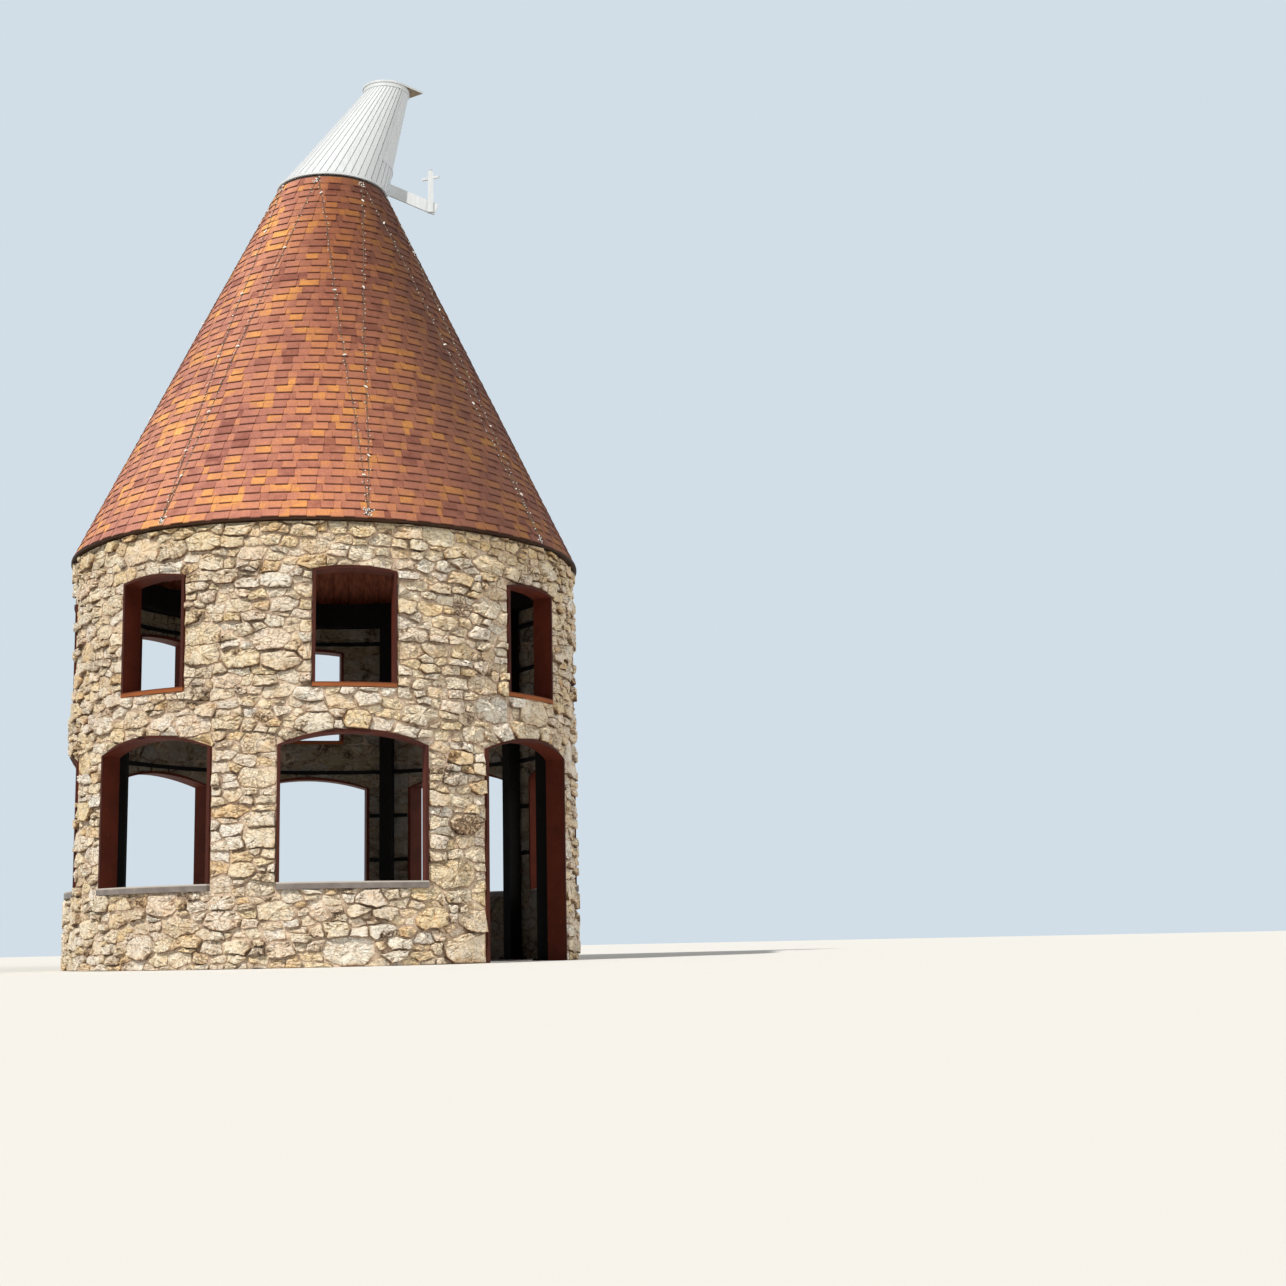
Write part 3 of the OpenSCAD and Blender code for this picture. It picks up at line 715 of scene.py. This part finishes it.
def carve_stone(stone, rng, relief, most, rings):
    """Points (arc, height, out) of one roughly split stone, its faces, and how open each point lies, which sets the
    painted shade at the stone's foot, near its outline and in its clefts.
    """
    (cx, cz), line, size = stone
    n = len(line)
    mx, mz = sum(p[0] for p in line) / n, sum(p[1] for p in line) / n
    h = relief * min(1.35, 0.34 + 3.3 * size) * (0.30 + 1.45 * rng.random() ** 1.8)
    seed = Vector((rng.uniform(0, 99), rng.uniform(0, 99), rng.uniform(0, 99)))
    dome = rng.uniform(0.5, 1.7)
    half = 0.5 * (max(p[1] for p in line) - min(p[1] for p in line))
    # the face is split along a few planes, the lowest one counts
    splits = [(rng.gauss(0, 0.32), rng.gauss(-0.10, 0.32), h * rng.uniform(0.95, 1.4)) for _ in range(4)]

    def rough(scale, *place):
        return noise.noise(Vector(place) * scale + seed)

    def split_face(u, v, lift):
        low = min(c + (u - mx) * a + (v - mz) * b for a, b, c in splits)
        cleft = max(0.0, 1 - abs(rough(9, u, v * 1.6, 13)) / 0.10)
        up = max(-1.0, min(1.0, (v - mz) / half))
        # painted shade: a point low on the stone, near its outline or in a cleft is less open, and the material darkens
        # it as if it lay in shadow
        clear.append(max(0.0, 1 - (1 - lift) * (0.80 - 0.74 * up)) * (1 - 0.7 * cleft))
        form = max(low, 0.35 * h) * lift ** (dome * 2 ** (0.9 * up))
        chips = (0.80 * abs(rough(20, u, v, 0)) - 0.22 - 0.45 * cleft) * h * lift
        return max(0.004, min(form + chips + 0.008 * rough(48, u, v, 7), most))

    points = [(cx + x, cz + z, STONE_BACK) for x, z in line]
    # the outline is less open at the stone's foot than at its top, for the painted shadow under the stone
    clear = [max(0.0, 0.36 + 0.42 * (z - mz) / half) for x, z in line]
    for scale, lift in rings:
        for x, z in line:
            k = scale * (1 + 0.05 * rough(40, x, z, 3)) if scale < 0.95 else scale
            u, v = mx + (x - mx) * k, mz + (z - mz) * k
            points.append((cx + u, cz + v, split_face(u, v, lift)))
    points.append((cx + mx, cz + mz, split_face(mx, mz, 1.0)))
    faces = []
    for ring in range(len(rings)):
        for i in range(n):
            a, b = ring * n + i, ring * n + (i + 1) % n
            c, d = b + n, a + n
            faces += [(a, b, c), (a, c, d)] if (i + ring) % 2 else [(a, b, d), (b, c, d)]
    last = len(rings) * n
    faces += [(last + i, last + (i + 1) % n, len(points) - 1) for i in range(n)]
    faces.append(tuple(range(n - 1, -1, -1)))
    return points, faces, clear


def wall_openings(wall, face):
    """Middle and outline of every arch and window on the wall unrolled at the radius face."""
    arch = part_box("arch_lining_front")[1]
    sill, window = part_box("window_lining_front")
    found = []
    for i, bay in enumerate(BAYS):
        low = -0.2 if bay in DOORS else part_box("bar_counters")[0][2]
        for half, foot, spring, crown in (
                (arch[0], low, arch[2] - wall.arch_rise, arch[2]),
                (window[0], sill[2] - STONE_GAP, window[2] - wall.window_rise, window[2])):
            outline = opening_outline(half + STONE_GAP, foot, spring, crown + STONE_GAP, face)
            found.append((i * BAY * face, outline))
    return found


def wall_stones(wall, side):
    """Lays one face of the wall and shares its stones out to the bays."""
    outside = side["side"] > 0
    face = -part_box("wall_front")[0][1] if outside else radius_of("girt_ring_low")
    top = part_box(side["under"])[0][2] - STONE_GAP
    rng = random.Random(wall.seed + side["salt"])
    openings, size = wall_openings(wall, face), wall.stone * side["coarse"]
    stones = lay_stones(rng, face, top, openings, size, wall.stretch, wall.joint, side["step"])
    bays = {bay: ([], [], [], []) for bay in BAYS}
    for stone in stones:
        points, faces, clear = carve_stone(stone, rng, wall.relief, side["most"], side["rings"])
        all_points, all_faces, tones, open_points = bays[BAYS[int(stone[0][0] / face / BAY + 0.5) % len(BAYS)]]
        base = len(all_points)
        open_points += clear
        all_points += [around(face + side["side"] * out, u / face + FRONT, max(0.0, z)) for u, z, out in points]
        all_faces += [tuple(base + k for k in (f if outside else reversed(f))) for f in faces]
        tones += [rng.random()] * len(faces)
    return bays


class OAST_OT_stones(bpy.types.Operator):
    """Lay the rubble on both faces of every bay"""

    bl_idname = "oast.stones"
    bl_label = "Stones"

    def execute(self, context):
        wall = context.scene.oast_wall
        noise.seed_set(RIPPLE_SEED)
        dress(mortar_material(wall), *("wall_" + bay for bay in BAYS))
        for side in (OUTER, INNER):
            stone = stone_material(wall, side["finish"], side["dim"])
            for bay, (points, faces, tones, open_points) in wall_stones(wall, side).items():
                add_mesh(side["pieces"] + bay, points, faces, stone, "tower", tones, open_points)
        return {"FINISHED"}


# ---------------------------------------------------------------- repeated pieces


class Growth(Nodes):
    """A tree of Geometry Nodes with named inputs that grows a piece out of a base mesh."""

    def __init__(self, name, whole=(), real=()):
        super().__init__(bpy.data.node_groups.new(name, "GeometryNodeTree"))
        sockets = self.tree.interface
        sockets.new_socket("Geometry", in_out="INPUT", socket_type="NodeSocketGeometry")
        sockets.new_socket("Geometry", in_out="OUTPUT", socket_type="NodeSocketGeometry")
        kinds = {**dict.fromkeys(whole, "Int"), **dict.fromkeys(real, "Float"), "Material": "Material"}
        self.keys = {
            label: sockets.new_socket(label, in_out="INPUT", socket_type="NodeSocket" + kind).identifier
            for label, kind in kinds.items()}
        self.source = self.tree.nodes.new("NodeGroupInput").outputs

    def random(self, seed, key=None, low=0.0, high=1.0):
        node = self.add("FunctionNodeRandomValue", {"Min": low, "Max": high, "Seed": seed}, data_type="FLOAT")
        if key is not None:
            self.feed(node.inputs["ID"], key)
        return node.outputs[1]

    def store(self, geometry, name, value, domain="INSTANCE"):
        return self.out("GeometryNodeStoreNamedAttribute", {"Geometry": geometry, "Name": name, "Value": value},
                        data_type="FLOAT", domain=domain)

    def layer(self, name):
        return self.out("GeometryNodeInputNamedAttribute", {"Name": name}, data_type="FLOAT_VECTOR")

    def move(self, geometry, place, scale=(1, 1, 1)):
        return self.out("GeometryNodeTransform", {"Geometry": geometry, "Translation": place, "Scale": scale})

    def cylinder(self, sides, radius, depth, height):
        """An upright cylinder with its middle at the given height."""
        tube = self.out("GeometryNodeMeshCylinder", {"Vertices": sides, "Radius": radius, "Depth": depth})
        return self.move(tube, (0, 0, height))

    def merge(self, *parts):
        node = self.add("GeometryNodeJoinGeometry")
        for part in parts:
            self.feed(node.inputs[0], part)
        return node.outputs[0]

    def on_points(self, points, shape, turn, size):
        return self.out("GeometryNodeInstanceOnPoints", {
            "Points": points, "Instance": shape, "Scale": size,
            "Rotation": self.out("FunctionNodeEulerToRotation", {"Euler": turn})})

    def end(self, geometry):
        """Ends the tree in Realize Instances and Set Material."""
        real = self.out("GeometryNodeRealizeInstances", {"Geometry": geometry})
        real = self.out("GeometryNodeSetMaterial", {"Geometry": real, "Material": self.source["Material"]})
        self.add("NodeGroupOutput", {"Geometry": real})

    def grow(self, name, base, values, body, slot):
        """Runs the tree on a base mesh and keeps the result as a plain piece."""
        holder = show(name + "_base", base)
        modifier = holder.modifiers.new("Nodes", "NODES")
        modifier.node_group = self.tree
        for label, value in values.items():
            modifier[self.keys[label]] = value
        depsgraph = bpy.context.evaluated_depsgraph_get()
        mesh = bpy.data.meshes.new_from_object(holder.evaluated_get(depsgraph))
        holder.modifiers.remove(modifier)
        bpy.data.objects.remove(holder)
        if not mesh.polygons:
            raise RuntimeError(name + " came out empty")
        mesh.name = name
        return settle(mesh, name, body)


def scatter(name, shape, spots, material, slot, seed):
    """Sets a small shape on every spot, which is a place, a turn and a size."""
    base = bpy.data.meshes.new(name + "_spots")
    places, turns, sizes = zip(*spots)
    base.from_pydata(list(places), [], [])
    for label, values in (("turn", turns), ("size", sizes)):
        layer = base.attributes.new(label, "FLOAT_VECTOR", "POINT")
        layer.data.foreach_set("vector", [v for value in values for v in value])
    n = Growth(name, ("Seed",))
    points = n.out("GeometryNodeMeshToPoints", {"Mesh": n.source["Geometry"]})
    placed = n.on_points(points, shape(n), n.layer("turn"), n.layer("size"))
    n.end(n.store(placed, "tone", n.random(n.source["Seed"])))
    n.grow(name, base, {"Material": material, "Seed": seed}, "tower", slot)


def hex_head(n):
    """A hexagonal bolt head on its washer, 1 across and 0.6 high."""
    return n.merge(n.cylinder(6, 0.5, 0.45, 0.375), n.cylinder(14, 0.72, 0.15, 0.075))


def bulb_shape(n):
    """A small bulb, 1 across, at the end of its socket."""
    ball = n.out("GeometryNodeMeshUVSphere", {"Segments": 6, "Rings": 4, "Radius": 0.5})
    return n.move(ball, (0, 0, 2.0), (1, 1, 1.5))


def socket_shape(n):
    """The lead and socket of a bulb, from the cable to the bulb's foot."""
    return n.cylinder(5, 0.36, 1.5, 0.75)


def joiner_shape(n):
    """A small block on the cable."""
    return n.out("GeometryNodeMeshCube")


def cone():
    """The cone's radius at its foot and under the curb, and its lowest and highest height."""
    lo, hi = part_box("roof_shell")
    return hi[0], radius_of("curb_ring"), lo[2], hi[2]


def shingle_courses(n):
    """Courses of tabs round the cone. Every other tab is a raised one and takes more of the width."""
    source = n.source
    first, last = n.add("GeometryNodeRepeatInput"), n.add("GeometryNodeRepeatOutput")
    first.pair_with_output(last)
    last.repeat_items.clear()
    last.repeat_items.new("GEOMETRY", "Roof")
    last.repeat_items.new("INT", "Course")
    n.feed(first.inputs["Iterations"], source["Courses"])
    n.feed(first.inputs["Roof"], source["Geometry"])
    course = first.outputs["Course"]
    level, steep = n.math("COSINE", source["Slope"]), n.math("SINE", source["Slope"])
    along = n.mul(course, source["Exposure"])
    radius = n.minus(source["Foot radius"], n.mul(along, level))
    height = n.plus(source["Foot height"], n.mul(along, steep))
    count = n.mul(n.math("FLOOR", n.math("DIVIDE", n.mul(radius, math.pi), source["Tab"])), 2.0)
    index = n.out("GeometryNodeInputIndex")
    number = n.mul(course, 1000.0)
    key = n.plus(number, index)
    raised = n.math("FLOORED_MODULO", index, 2.0)

    def edge_angle(i, plain):
        stray = n.random(source["Seed"], n.plus(number, i), -0.24, 0.24)
        wider = n.minus(n.plus(stray, 0.13), n.mul(n.math("FLOORED_MODULO", i, 2.0), 0.26))
        shift = n.plus(n.plus(plain, wider), n.mul(course, 0.73))
        return n.mul(n.math("DIVIDE", shift, count), TAU)

    def vary(salt, low=0.0, high=1.0):
        return n.random(n.plus(source["Seed"], salt), key, low, high)

    left = edge_angle(index, index)
    after = n.plus(index, 1.0)
    right = edge_angle(n.math("FLOORED_MODULO", after, count), after)
    middle = n.mul(n.plus(left, right), 0.5)
    width = n.mul(n.minus(right, left), radius)
    thick = n.mul(n.mul(vary(17.0, 0.80), source["Butt"]), n.plus(n.mul(raised, 0.68), 0.32))
    sag = n.mul(vary(29.0, 0.0, 0.007), raised)
    # each tab is a box whose lower end rests on the course below
    box = n.move(n.out("GeometryNodeMeshCube"), (0, 0.5, 0.5))
    spot = n.split(n.out("GeometryNodeInputPosition"))
    box = n.store(n.store(box, "along", spot["Y"], "POINT"), "across", spot["X"], "POINT")
    low = n.plus(radius, n.mul(sag, level))
    place = n.xyz(n.mul(low, n.math("COSINE", middle)), n.mul(low, n.math("SINE", middle)),
                  n.minus(height, n.mul(sag, steep)))
    points = n.out("GeometryNodePoints", {"Count": count})
    points = n.out("GeometryNodeSetPosition", {"Geometry": points, "Position": place})
    lean = n.math("DIVIDE", n.mul(thick, 0.75), source["Exposure"])
    turn = n.xyz(n.minus(source["Slope"], lean), 0.0, n.plus(middle, math.pi / 2))
    size = n.xyz(n.mul(width, 0.985), n.mul(source["Exposure"], 1.12), thick)
    tabs = n.on_points(points, box, turn, size)
    tabs = n.store(n.store(tabs, "tone", vary(41.0)), "raised", raised)
    n.feed(last.inputs["Roof"], n.merge(tabs, first.outputs["Roof"]))
    n.feed(last.inputs["Course"], n.plus(course, 1.0))
    return last.outputs["Roof"]


class OAST_OT_shingles(bpy.types.Operator):
    """Lay the courses of shingles on the cone"""

    bl_idname = "oast.shingles"
    bl_label = "Shingles"

    def execute(self, context):
        s = context.scene.oast_roof
        r0, r1, z0, z1 = cone()
        dress(plain_material("roof_felt", (0.047, 0.030, 0.024), 0.9), "roof_shell")
        sizes = ("Exposure", "Tab", "Butt", "Foot radius", "Foot height", "Slope")
        n = Growth("shingle_courses", ("Courses", "Seed"), sizes)
        n.end(shingle_courses(n))
        n.grow("shingles", bpy.data.meshes.new("roof_start"), {
            "Courses": int(math.hypot(r0 - r1, z1 - z0) / s.exposure), "Exposure": s.exposure, "Tab": s.tab,
            "Butt": s.butt, "Foot radius": r0 - 0.0015, "Foot height": z0 + 0.005,
            "Slope": math.atan2(z1 - z0, r0 - r1), "Seed": s.seed, "Material": shingle_material(s)
        }, "tower", "shingles")
        return {"FINISHED"}


class OAST_OT_linings(bpy.types.Operator):
    """Paint the steel linings of the arches and the windows"""

    bl_idname = "oast.linings"
    bl_label = "Linings"

    def execute(self, context):
        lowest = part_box("window_lining_front")[0]
        sill = (lowest[2] - 0.02, lowest[2] + 0.035)
        colour, wear_and_painted_light = (0.105, 0.020, 0.0095), (0.257, 0.068, 0.023)
        paint = painted_steel("lining_paint", colour, wear_and_painted_light, 0.62, -lowest[1], sill, 0.14)
        dress(paint, *(kind + bay for bay in BAYS for kind in ("arch_lining_", "window_lining_")))
        dress(slate_material(), "bar_counters")
        return {"FINISHED"}


class OAST_OT_steel(bpy.types.Operator):
    """Paint the columns, girts and ring beam, and bolt them"""

    bl_idname = "oast.steel"
    bl_label = "Steel frame"

    def execute(self, context):
        black = painted_steel("black_steel_paint", (0.0081, 0.0074, 0.0074), (0.030, 0.020, 0.0162), 0.6, sheen=0.08)
        dress(black, "columns", "pier_girts", "girt_ring_low", "girt_ring_high", "ring_beam")
        dark = painted_steel("drip_edge_paint", (0.038, 0.0189, 0.0108), (0.108, 0.061, 0.035), 0.5, sheen=0.06)
        dress(dark, "eave_drip", "curb_ring")
        # four bolts on each column's base plate, and two rows on the ring beam's inner face
        girt = radius_of("girt_ring_low")
        column, beam_face = girt - 0.06 - 0.1, girt - 0.26
        plate_top, from_edge = 0.025, 0.07
        spots = []
        for i in range(len(BAYS)):
            a = FRONT + (i + 0.5) * BAY
            out, side = Vector(around(1, a, 0)), Vector((-math.sin(a), math.cos(a), 0))
            for x in (-0.13, 0.13):
                for y in (-0.125, 0.0):
                    p = out * (column + y) + side * x
                    spots.append(((p.x, p.y, plate_top), (0, 0, a + x), (0.030, 0.030, 0.030)))
        lo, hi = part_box("ring_beam")
        for i in range(BEAM_BOLTS):
            a = (i + 0.5) * TAU / BEAM_BOLTS
            for z in (lo[2] + from_edge, hi[2] - from_edge):
                spots.append((around(beam_face, a, z), (math.pi / 2, 0, a + FRONT), (0.034, 0.034, 0.030)))
        scatter("frame_bolts", hex_head, spots, black, "black_steel", 1)
        return {"FINISHED"}


class OAST_OT_boards(bpy.types.Operator):
    """Board the inside of the cone and stain its beams"""

    bl_idname = "oast.boards"
    bl_label = "Roof boards and beams"

    def execute(self, context):
        stain = timber_material("stained_lining_boards", (0.203, 0.049, 0.020), (0.567, 0.155, 0.068))
        beam = timber_material("rough_sawn_beam", (0.135, 0.084, 0.049), (0.405, 0.270, 0.162), "X")
        dress(stain, "roof_boards")
        dress(beam, "pole_beam_low", "pole_beam_top", "wall_plate")
        dress(plain_material("cast_footstep", (0.03, 0.03, 0.032), 0.55, Metallic=0.8), "footstep")
        lo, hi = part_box("roof_boards")
        foot, head, low, high = cone()
        r1 = head - 0.117  # the lining's inner face under the curb
        r0 = r1 + (hi[2] - lo[2]) * ((foot - head) / (high - low))
        count = context.scene.oast_roof.lining_boards
        points, faces, tones = [], [], []
        rng = random.Random(2)
        for i in range(count):
            tones += [rng.random()] * len(BOARD_FACES)
            depth = 0.014 + 0.004 * rng.random()
            faces += [tuple(len(points) + k for k in face) for face in BOARD_FACES]
            for r, z in ((r0, lo[2] + 0.002), (r1, hi[2] - 0.002)):
                for across, d in ((-0.47, 0.0), (-0.44, depth), (0.44, depth), (0.47, 0.0)):
                    a = i * TAU / count + across * (TAU / count)
                    points.append(around(r - d - 0.001, a, z))
        add_mesh("lining_boards", points, faces, stain, "tower", tones)
        return {"FINISHED"}


class OAST_OT_cowl(bpy.types.Operator):
    """Paint the cowl and its boards"""

    bl_idname = "oast.cowl"
    bl_label = "Cowl"

    def execute(self, context):
        s = context.scene.oast_cowl
        dress(painted_boards(s, "cowl_boards", True), "cowl_shell")
        dress(painted_boards(s, "white_paint"), "cowl_ring", "cowl_hoop", "cowl_mouth_frame", "cowl_mouth_panel",
              "vane_arm", "vane_post")
        dress(cap_material(s), "cowl_cap")
        timber = timber_material("pole_timber", (0.162, 0.115, 0.074), (0.459, 0.351, 0.243))
        dress(timber, "cowl_pole", "cowl_arms")
        # a finer round than the CAD mesh, so that no facet meets the collar as the pole turns
        lo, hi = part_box("cowl_pole")
        sides, r = 64, hi[0] - 0.0005
        points = [around(r, TAU * k / sides, z) for z in (lo[2], hi[2]) for k in range(sides)]
        faces = [(k, (k + 1) % sides, sides + (k + 1) % sides, sides + k) for k in range(sides)]
        faces += [tuple(range(sides - 1, -1, -1)), tuple(range(sides, 2 * sides))]
        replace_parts(add_mesh("turned_pole", points, faces, timber, "cowl"), "cowl_pole")
        return {"FINISHED"}


def string_line(i, side, steps=60):
    """The way of one cable up the cone, from the middle of a bay to the left or right of it."""
    r0, r1, z0, z1 = cone()
    above_eave, ends, off_slope = 0.045, 0.085, 0.014
    foot = FRONT + math.radians(45 * i + 2.5)
    head = foot + side * math.radians(22.5)
    line = []
    for k in range(steps + 1):
        f = k / steps
        z = z0 + above_eave + (z1 - z0 - ends) * f
        r = r0 + (r1 - r0) * (z - z0) / (z1 - z0) + off_slope
        # a straight pull over the cone bears a little to the side of the straight line on it
        a = foot + (head - foot) * (f * r1 / (f * r1 + (1 - f) * r0))
        a += 0.004 * math.sin(9 * f + i) / max(0.3, r / r0)
        line.append(around(r, a, z))
    return line


def string_spots(line, rng, pitch, bulb):
    """Spots for the bulbs and for the joiners of one cable."""
    run = [Vector(p) for p in line]
    lengths = [(b - a).length for a, b in zip(run, run[1:])]
    total = sum(lengths)
    bulbs, joiners = [], []

    def hang(place, lead, low, high):
        turn = lead.to_track_quat("Z", "Y").to_euler()
        bulbs.append((place, turn, [bulb * rng.uniform(low, high) for _ in range(3)]))

    count = int(total / pitch)
    next_joiner = rng.uniform(3, 12)
    for j in range(count + 1):
        want = (j + 0.3 * rng.uniform(-1, 1)) * total / count
        k = 0
        while k < len(lengths) - 1 and want > lengths[k]:
            want -= lengths[k]
            k += 1
        pull = (run[k + 1] - run[k]).normalized()
        p = run[k].lerp(run[k + 1], min(1.0, max(0.0, want / lengths[k])))
        out = Vector(around(1, math.atan2(p.y, p.x), 0.4)).normalized()
        aside = pull.cross(out) * rng.choice((-1, 1))
        lead = (aside * rng.uniform(0.2, 1.0) - pull * rng.uniform(-0.5, 0.9) + out * 0.15).normalized()
        hang(p + out * 0.004, lead, 0.8, 1.2)
        if j > next_joiner:
            next_joiner += rng.uniform(9, 20)
            joiners.append((p + out * 0.010, lead.to_track_quat("X", "Z").to_euler(), (0.042, 0.020, 0.018)))
    # the slack at both ends is bunched up
    for end, inward, count in ((run[0], run[1], 9), (run[-1], run[-2], 5)):
        pull = (inward - end).normalized()
        a = math.atan2(end.y, end.x)
        aside = Vector((-math.sin(a), math.cos(a), 0))
        for _ in range(count):
            place = end + pull * rng.uniform(0, 0.10) + aside * rng.uniform(-0.04, 0.04)
            hang(place, aside * rng.uniform(-1, 1) + pull * rng.uniform(-0.3, 1), 1.0, 1.5)
    return bulbs, joiners


class OAST_OT_lamps(bpy.types.Operator):
    """Hang the strings of small lamps on the roof"""

    bl_idname = "oast.lamps"
    bl_label = "Lamp strings"

    def execute(self, context):
        s = context.scene.oast_lamps
        rng = random.Random(s.seed)
        points, links, bulbs, joiners = [], [], [], []
        for i in range(len(BAYS)):
            for side in (-1, 1):
                line = string_line(i, side)
                links += [(len(points) + k, len(points) + k + 1) for k in range(len(line) - 1)]
                points += line
                for spots, more in zip((bulbs, joiners), string_spots(line, rng, s.pitch, s.bulb)):
                    spots += more
        strings = bpy.data.meshes.new("strings")
        strings.from_pydata(points, links, [])
        n = Growth("lamp_strings", real=("Cable",))
        curve = n.out("GeometryNodeMeshToCurve", {"Mesh": n.source["Geometry"]})
        profile = n.out("GeometryNodeCurvePrimitiveCircle", {"Resolution": 6, "Radius": n.mul(n.source["Cable"], 0.5)})
        n.end(n.out("GeometryNodeCurveToMesh", {"Curve": curve, "Profile Curve": profile, "Fill Caps": True}))
        cable = plain_material("lamp_cable", (0.135, 0.095, 0.061), 0.6)
        n.grow("lamp_cables", strings, {"Cable": s.cable, "Material": cable}, "tower", "drip_metal")
        glass = plain_material("lamp_glass", (0.92, 0.90, 0.84), 0.22)
        dark = plain_material("lamp_socket", (0.061, 0.047, 0.034), 0.5)
        scatter("lamp_bulbs", bulb_shape, bulbs, glass, "white_boards", s.seed)
        scatter("lamp_sockets", socket_shape, bulbs, dark, "drip_metal", s.seed)
        scatter("lamp_joiners", joiner_shape, joiners, glass, "white_boards", s.seed)
        return {"FINISHED"}


# ---------------------------------------------------------------- stage


def direction(heading, height):
    return Vector((math.cos(heading) * math.cos(height), math.sin(heading) * math.cos(height), math.sin(height)))


class OAST_OT_stage(bpy.types.Operator):
    """Set the floor, the light and the camera"""

    bl_idname = "oast.stage"
    bl_label = "Stage"

    def execute(self, context):
        s = context.scene.oast_stage
        scene = context.scene
        ground = bpy.data.meshes.new("floor")
        ground.from_pydata([around(90, i * TAU / 96, -0.002) for i in range(96)], [], [tuple(range(96))])
        ground.materials.append(Finish("pale_floor").done(s.floor, 0.9))
        show("floor", ground)
        # light from all round, and the backdrop's colour where the camera looks past the tower
        world = scene.world = bpy.data.worlds.new("studio")
        world.use_nodes = True
        world.node_tree.nodes.clear()
        n = Nodes(world.node_tree)
        path = n.add("ShaderNodeLightPath").outputs
        mirrored = n.math("MAXIMUM", path["Is Glossy Ray"], path["Is Transmission Ray"])
        seen = n.math("MAXIMUM", path["Is Camera Ray"], mirrored)
        soft = n.out("ShaderNodeBackground", {"Color": (1.0, 0.98, 0.94), "Strength": s.fill})
        backdrop = n.out("ShaderNodeBackground", {"Color": s.backdrop, "Strength": 1.0})
        n.add("ShaderNodeOutputWorld", {"Surface": n.out("ShaderNodeMixShader", {0: seen, 1: soft, 2: backdrop})})
        # main light from the left in front, and a weak one from the right
        for name, azimuth, height, strength, angle, colour in (
                ("key", 222, 45, s.key, 1.5, (1.0, 0.95, 0.87)), ("side", 314, 28, s.side, 40, (1.0, 0.96, 0.90))):
            lamp = bpy.data.lights.new(name, "SUN")
            lamp.energy, lamp.angle, lamp.color = strength, math.radians(angle), colour
            towards = direction(math.radians(azimuth), math.radians(height))
            show(name, lamp).rotation_euler = towards.to_track_quat("Z", "Y").to_euler()
        lens = bpy.data.cameras.new("camera")
        lens.sensor_fit, lens.sensor_width, lens.lens, lens.clip_end = "HORIZONTAL", 36.0, s.lens, 500
        heading = math.pi / 2 - s.bearing - s.yaw
        forward = direction(heading, s.pitch)
        right = Vector((math.sin(heading), -math.cos(heading), 0))
        up = right.cross(forward)
        rolled = (right * math.cos(s.roll) + up * math.sin(s.roll), -right * math.sin(s.roll) + up * math.cos(s.roll))
        eye = Vector((-s.distance * math.sin(s.bearing), -s.distance * math.cos(s.bearing), s.eye))
        scene.camera = show("camera", lens)
        scene.camera.matrix_world = Matrix.Translation(eye) @ Matrix((*rolled, -forward)).transposed().to_4x4()
        scene.view_settings.view_transform = "Standard"
        return {"FINISHED"}


class OAST_PT_panel(bpy.types.Panel):
    """Sizes, colours and steps of the oast house"""

    bl_label = "Oast House"
    bl_space_type = "VIEW_3D"
    bl_region_type = "UI"
    bl_category = "Oast House"

    def draw(self, context):
        for group in SETTINGS:
            box = self.layout.box()
            settings = getattr(context.scene, group)
            for key in settings.__annotations__:
                box.prop(settings, key)
        for operator in OPERATORS:
            self.layout.operator(operator.bl_idname)


SETTINGS = {"oast_wall": OastWallSettings, "oast_roof": OastRoofSettings, "oast_cowl": OastCowlSettings,
            "oast_lamps": OastLampSettings, "oast_stage": OastStageSettings}
OPERATORS = [OAST_OT_stage, OAST_OT_linings, OAST_OT_steel, OAST_OT_boards, OAST_OT_cowl, OAST_OT_shingles,
             OAST_OT_lamps, OAST_OT_stones]
CLASSES = [*SETTINGS.values(), *OPERATORS, OAST_PT_panel]


def register():
    for cls in CLASSES:
        bpy.utils.register_class(cls)
    for key, cls in SETTINGS.items():
        setattr(bpy.types.Scene, key, bpy.props.PointerProperty(type=cls))


def unregister():
    for key in SETTINGS:
        delattr(bpy.types.Scene, key)
    for cls in reversed(CLASSES):
        bpy.utils.unregister_class(cls)


def main():
    register()
    for step in (bpy.ops.oast.stage, bpy.ops.oast.linings, bpy.ops.oast.steel, bpy.ops.oast.boards,
                 bpy.ops.oast.cowl, bpy.ops.oast.shingles, bpy.ops.oast.lamps, bpy.ops.oast.stones):
        step()


if __name__ == "__main__":
    main()
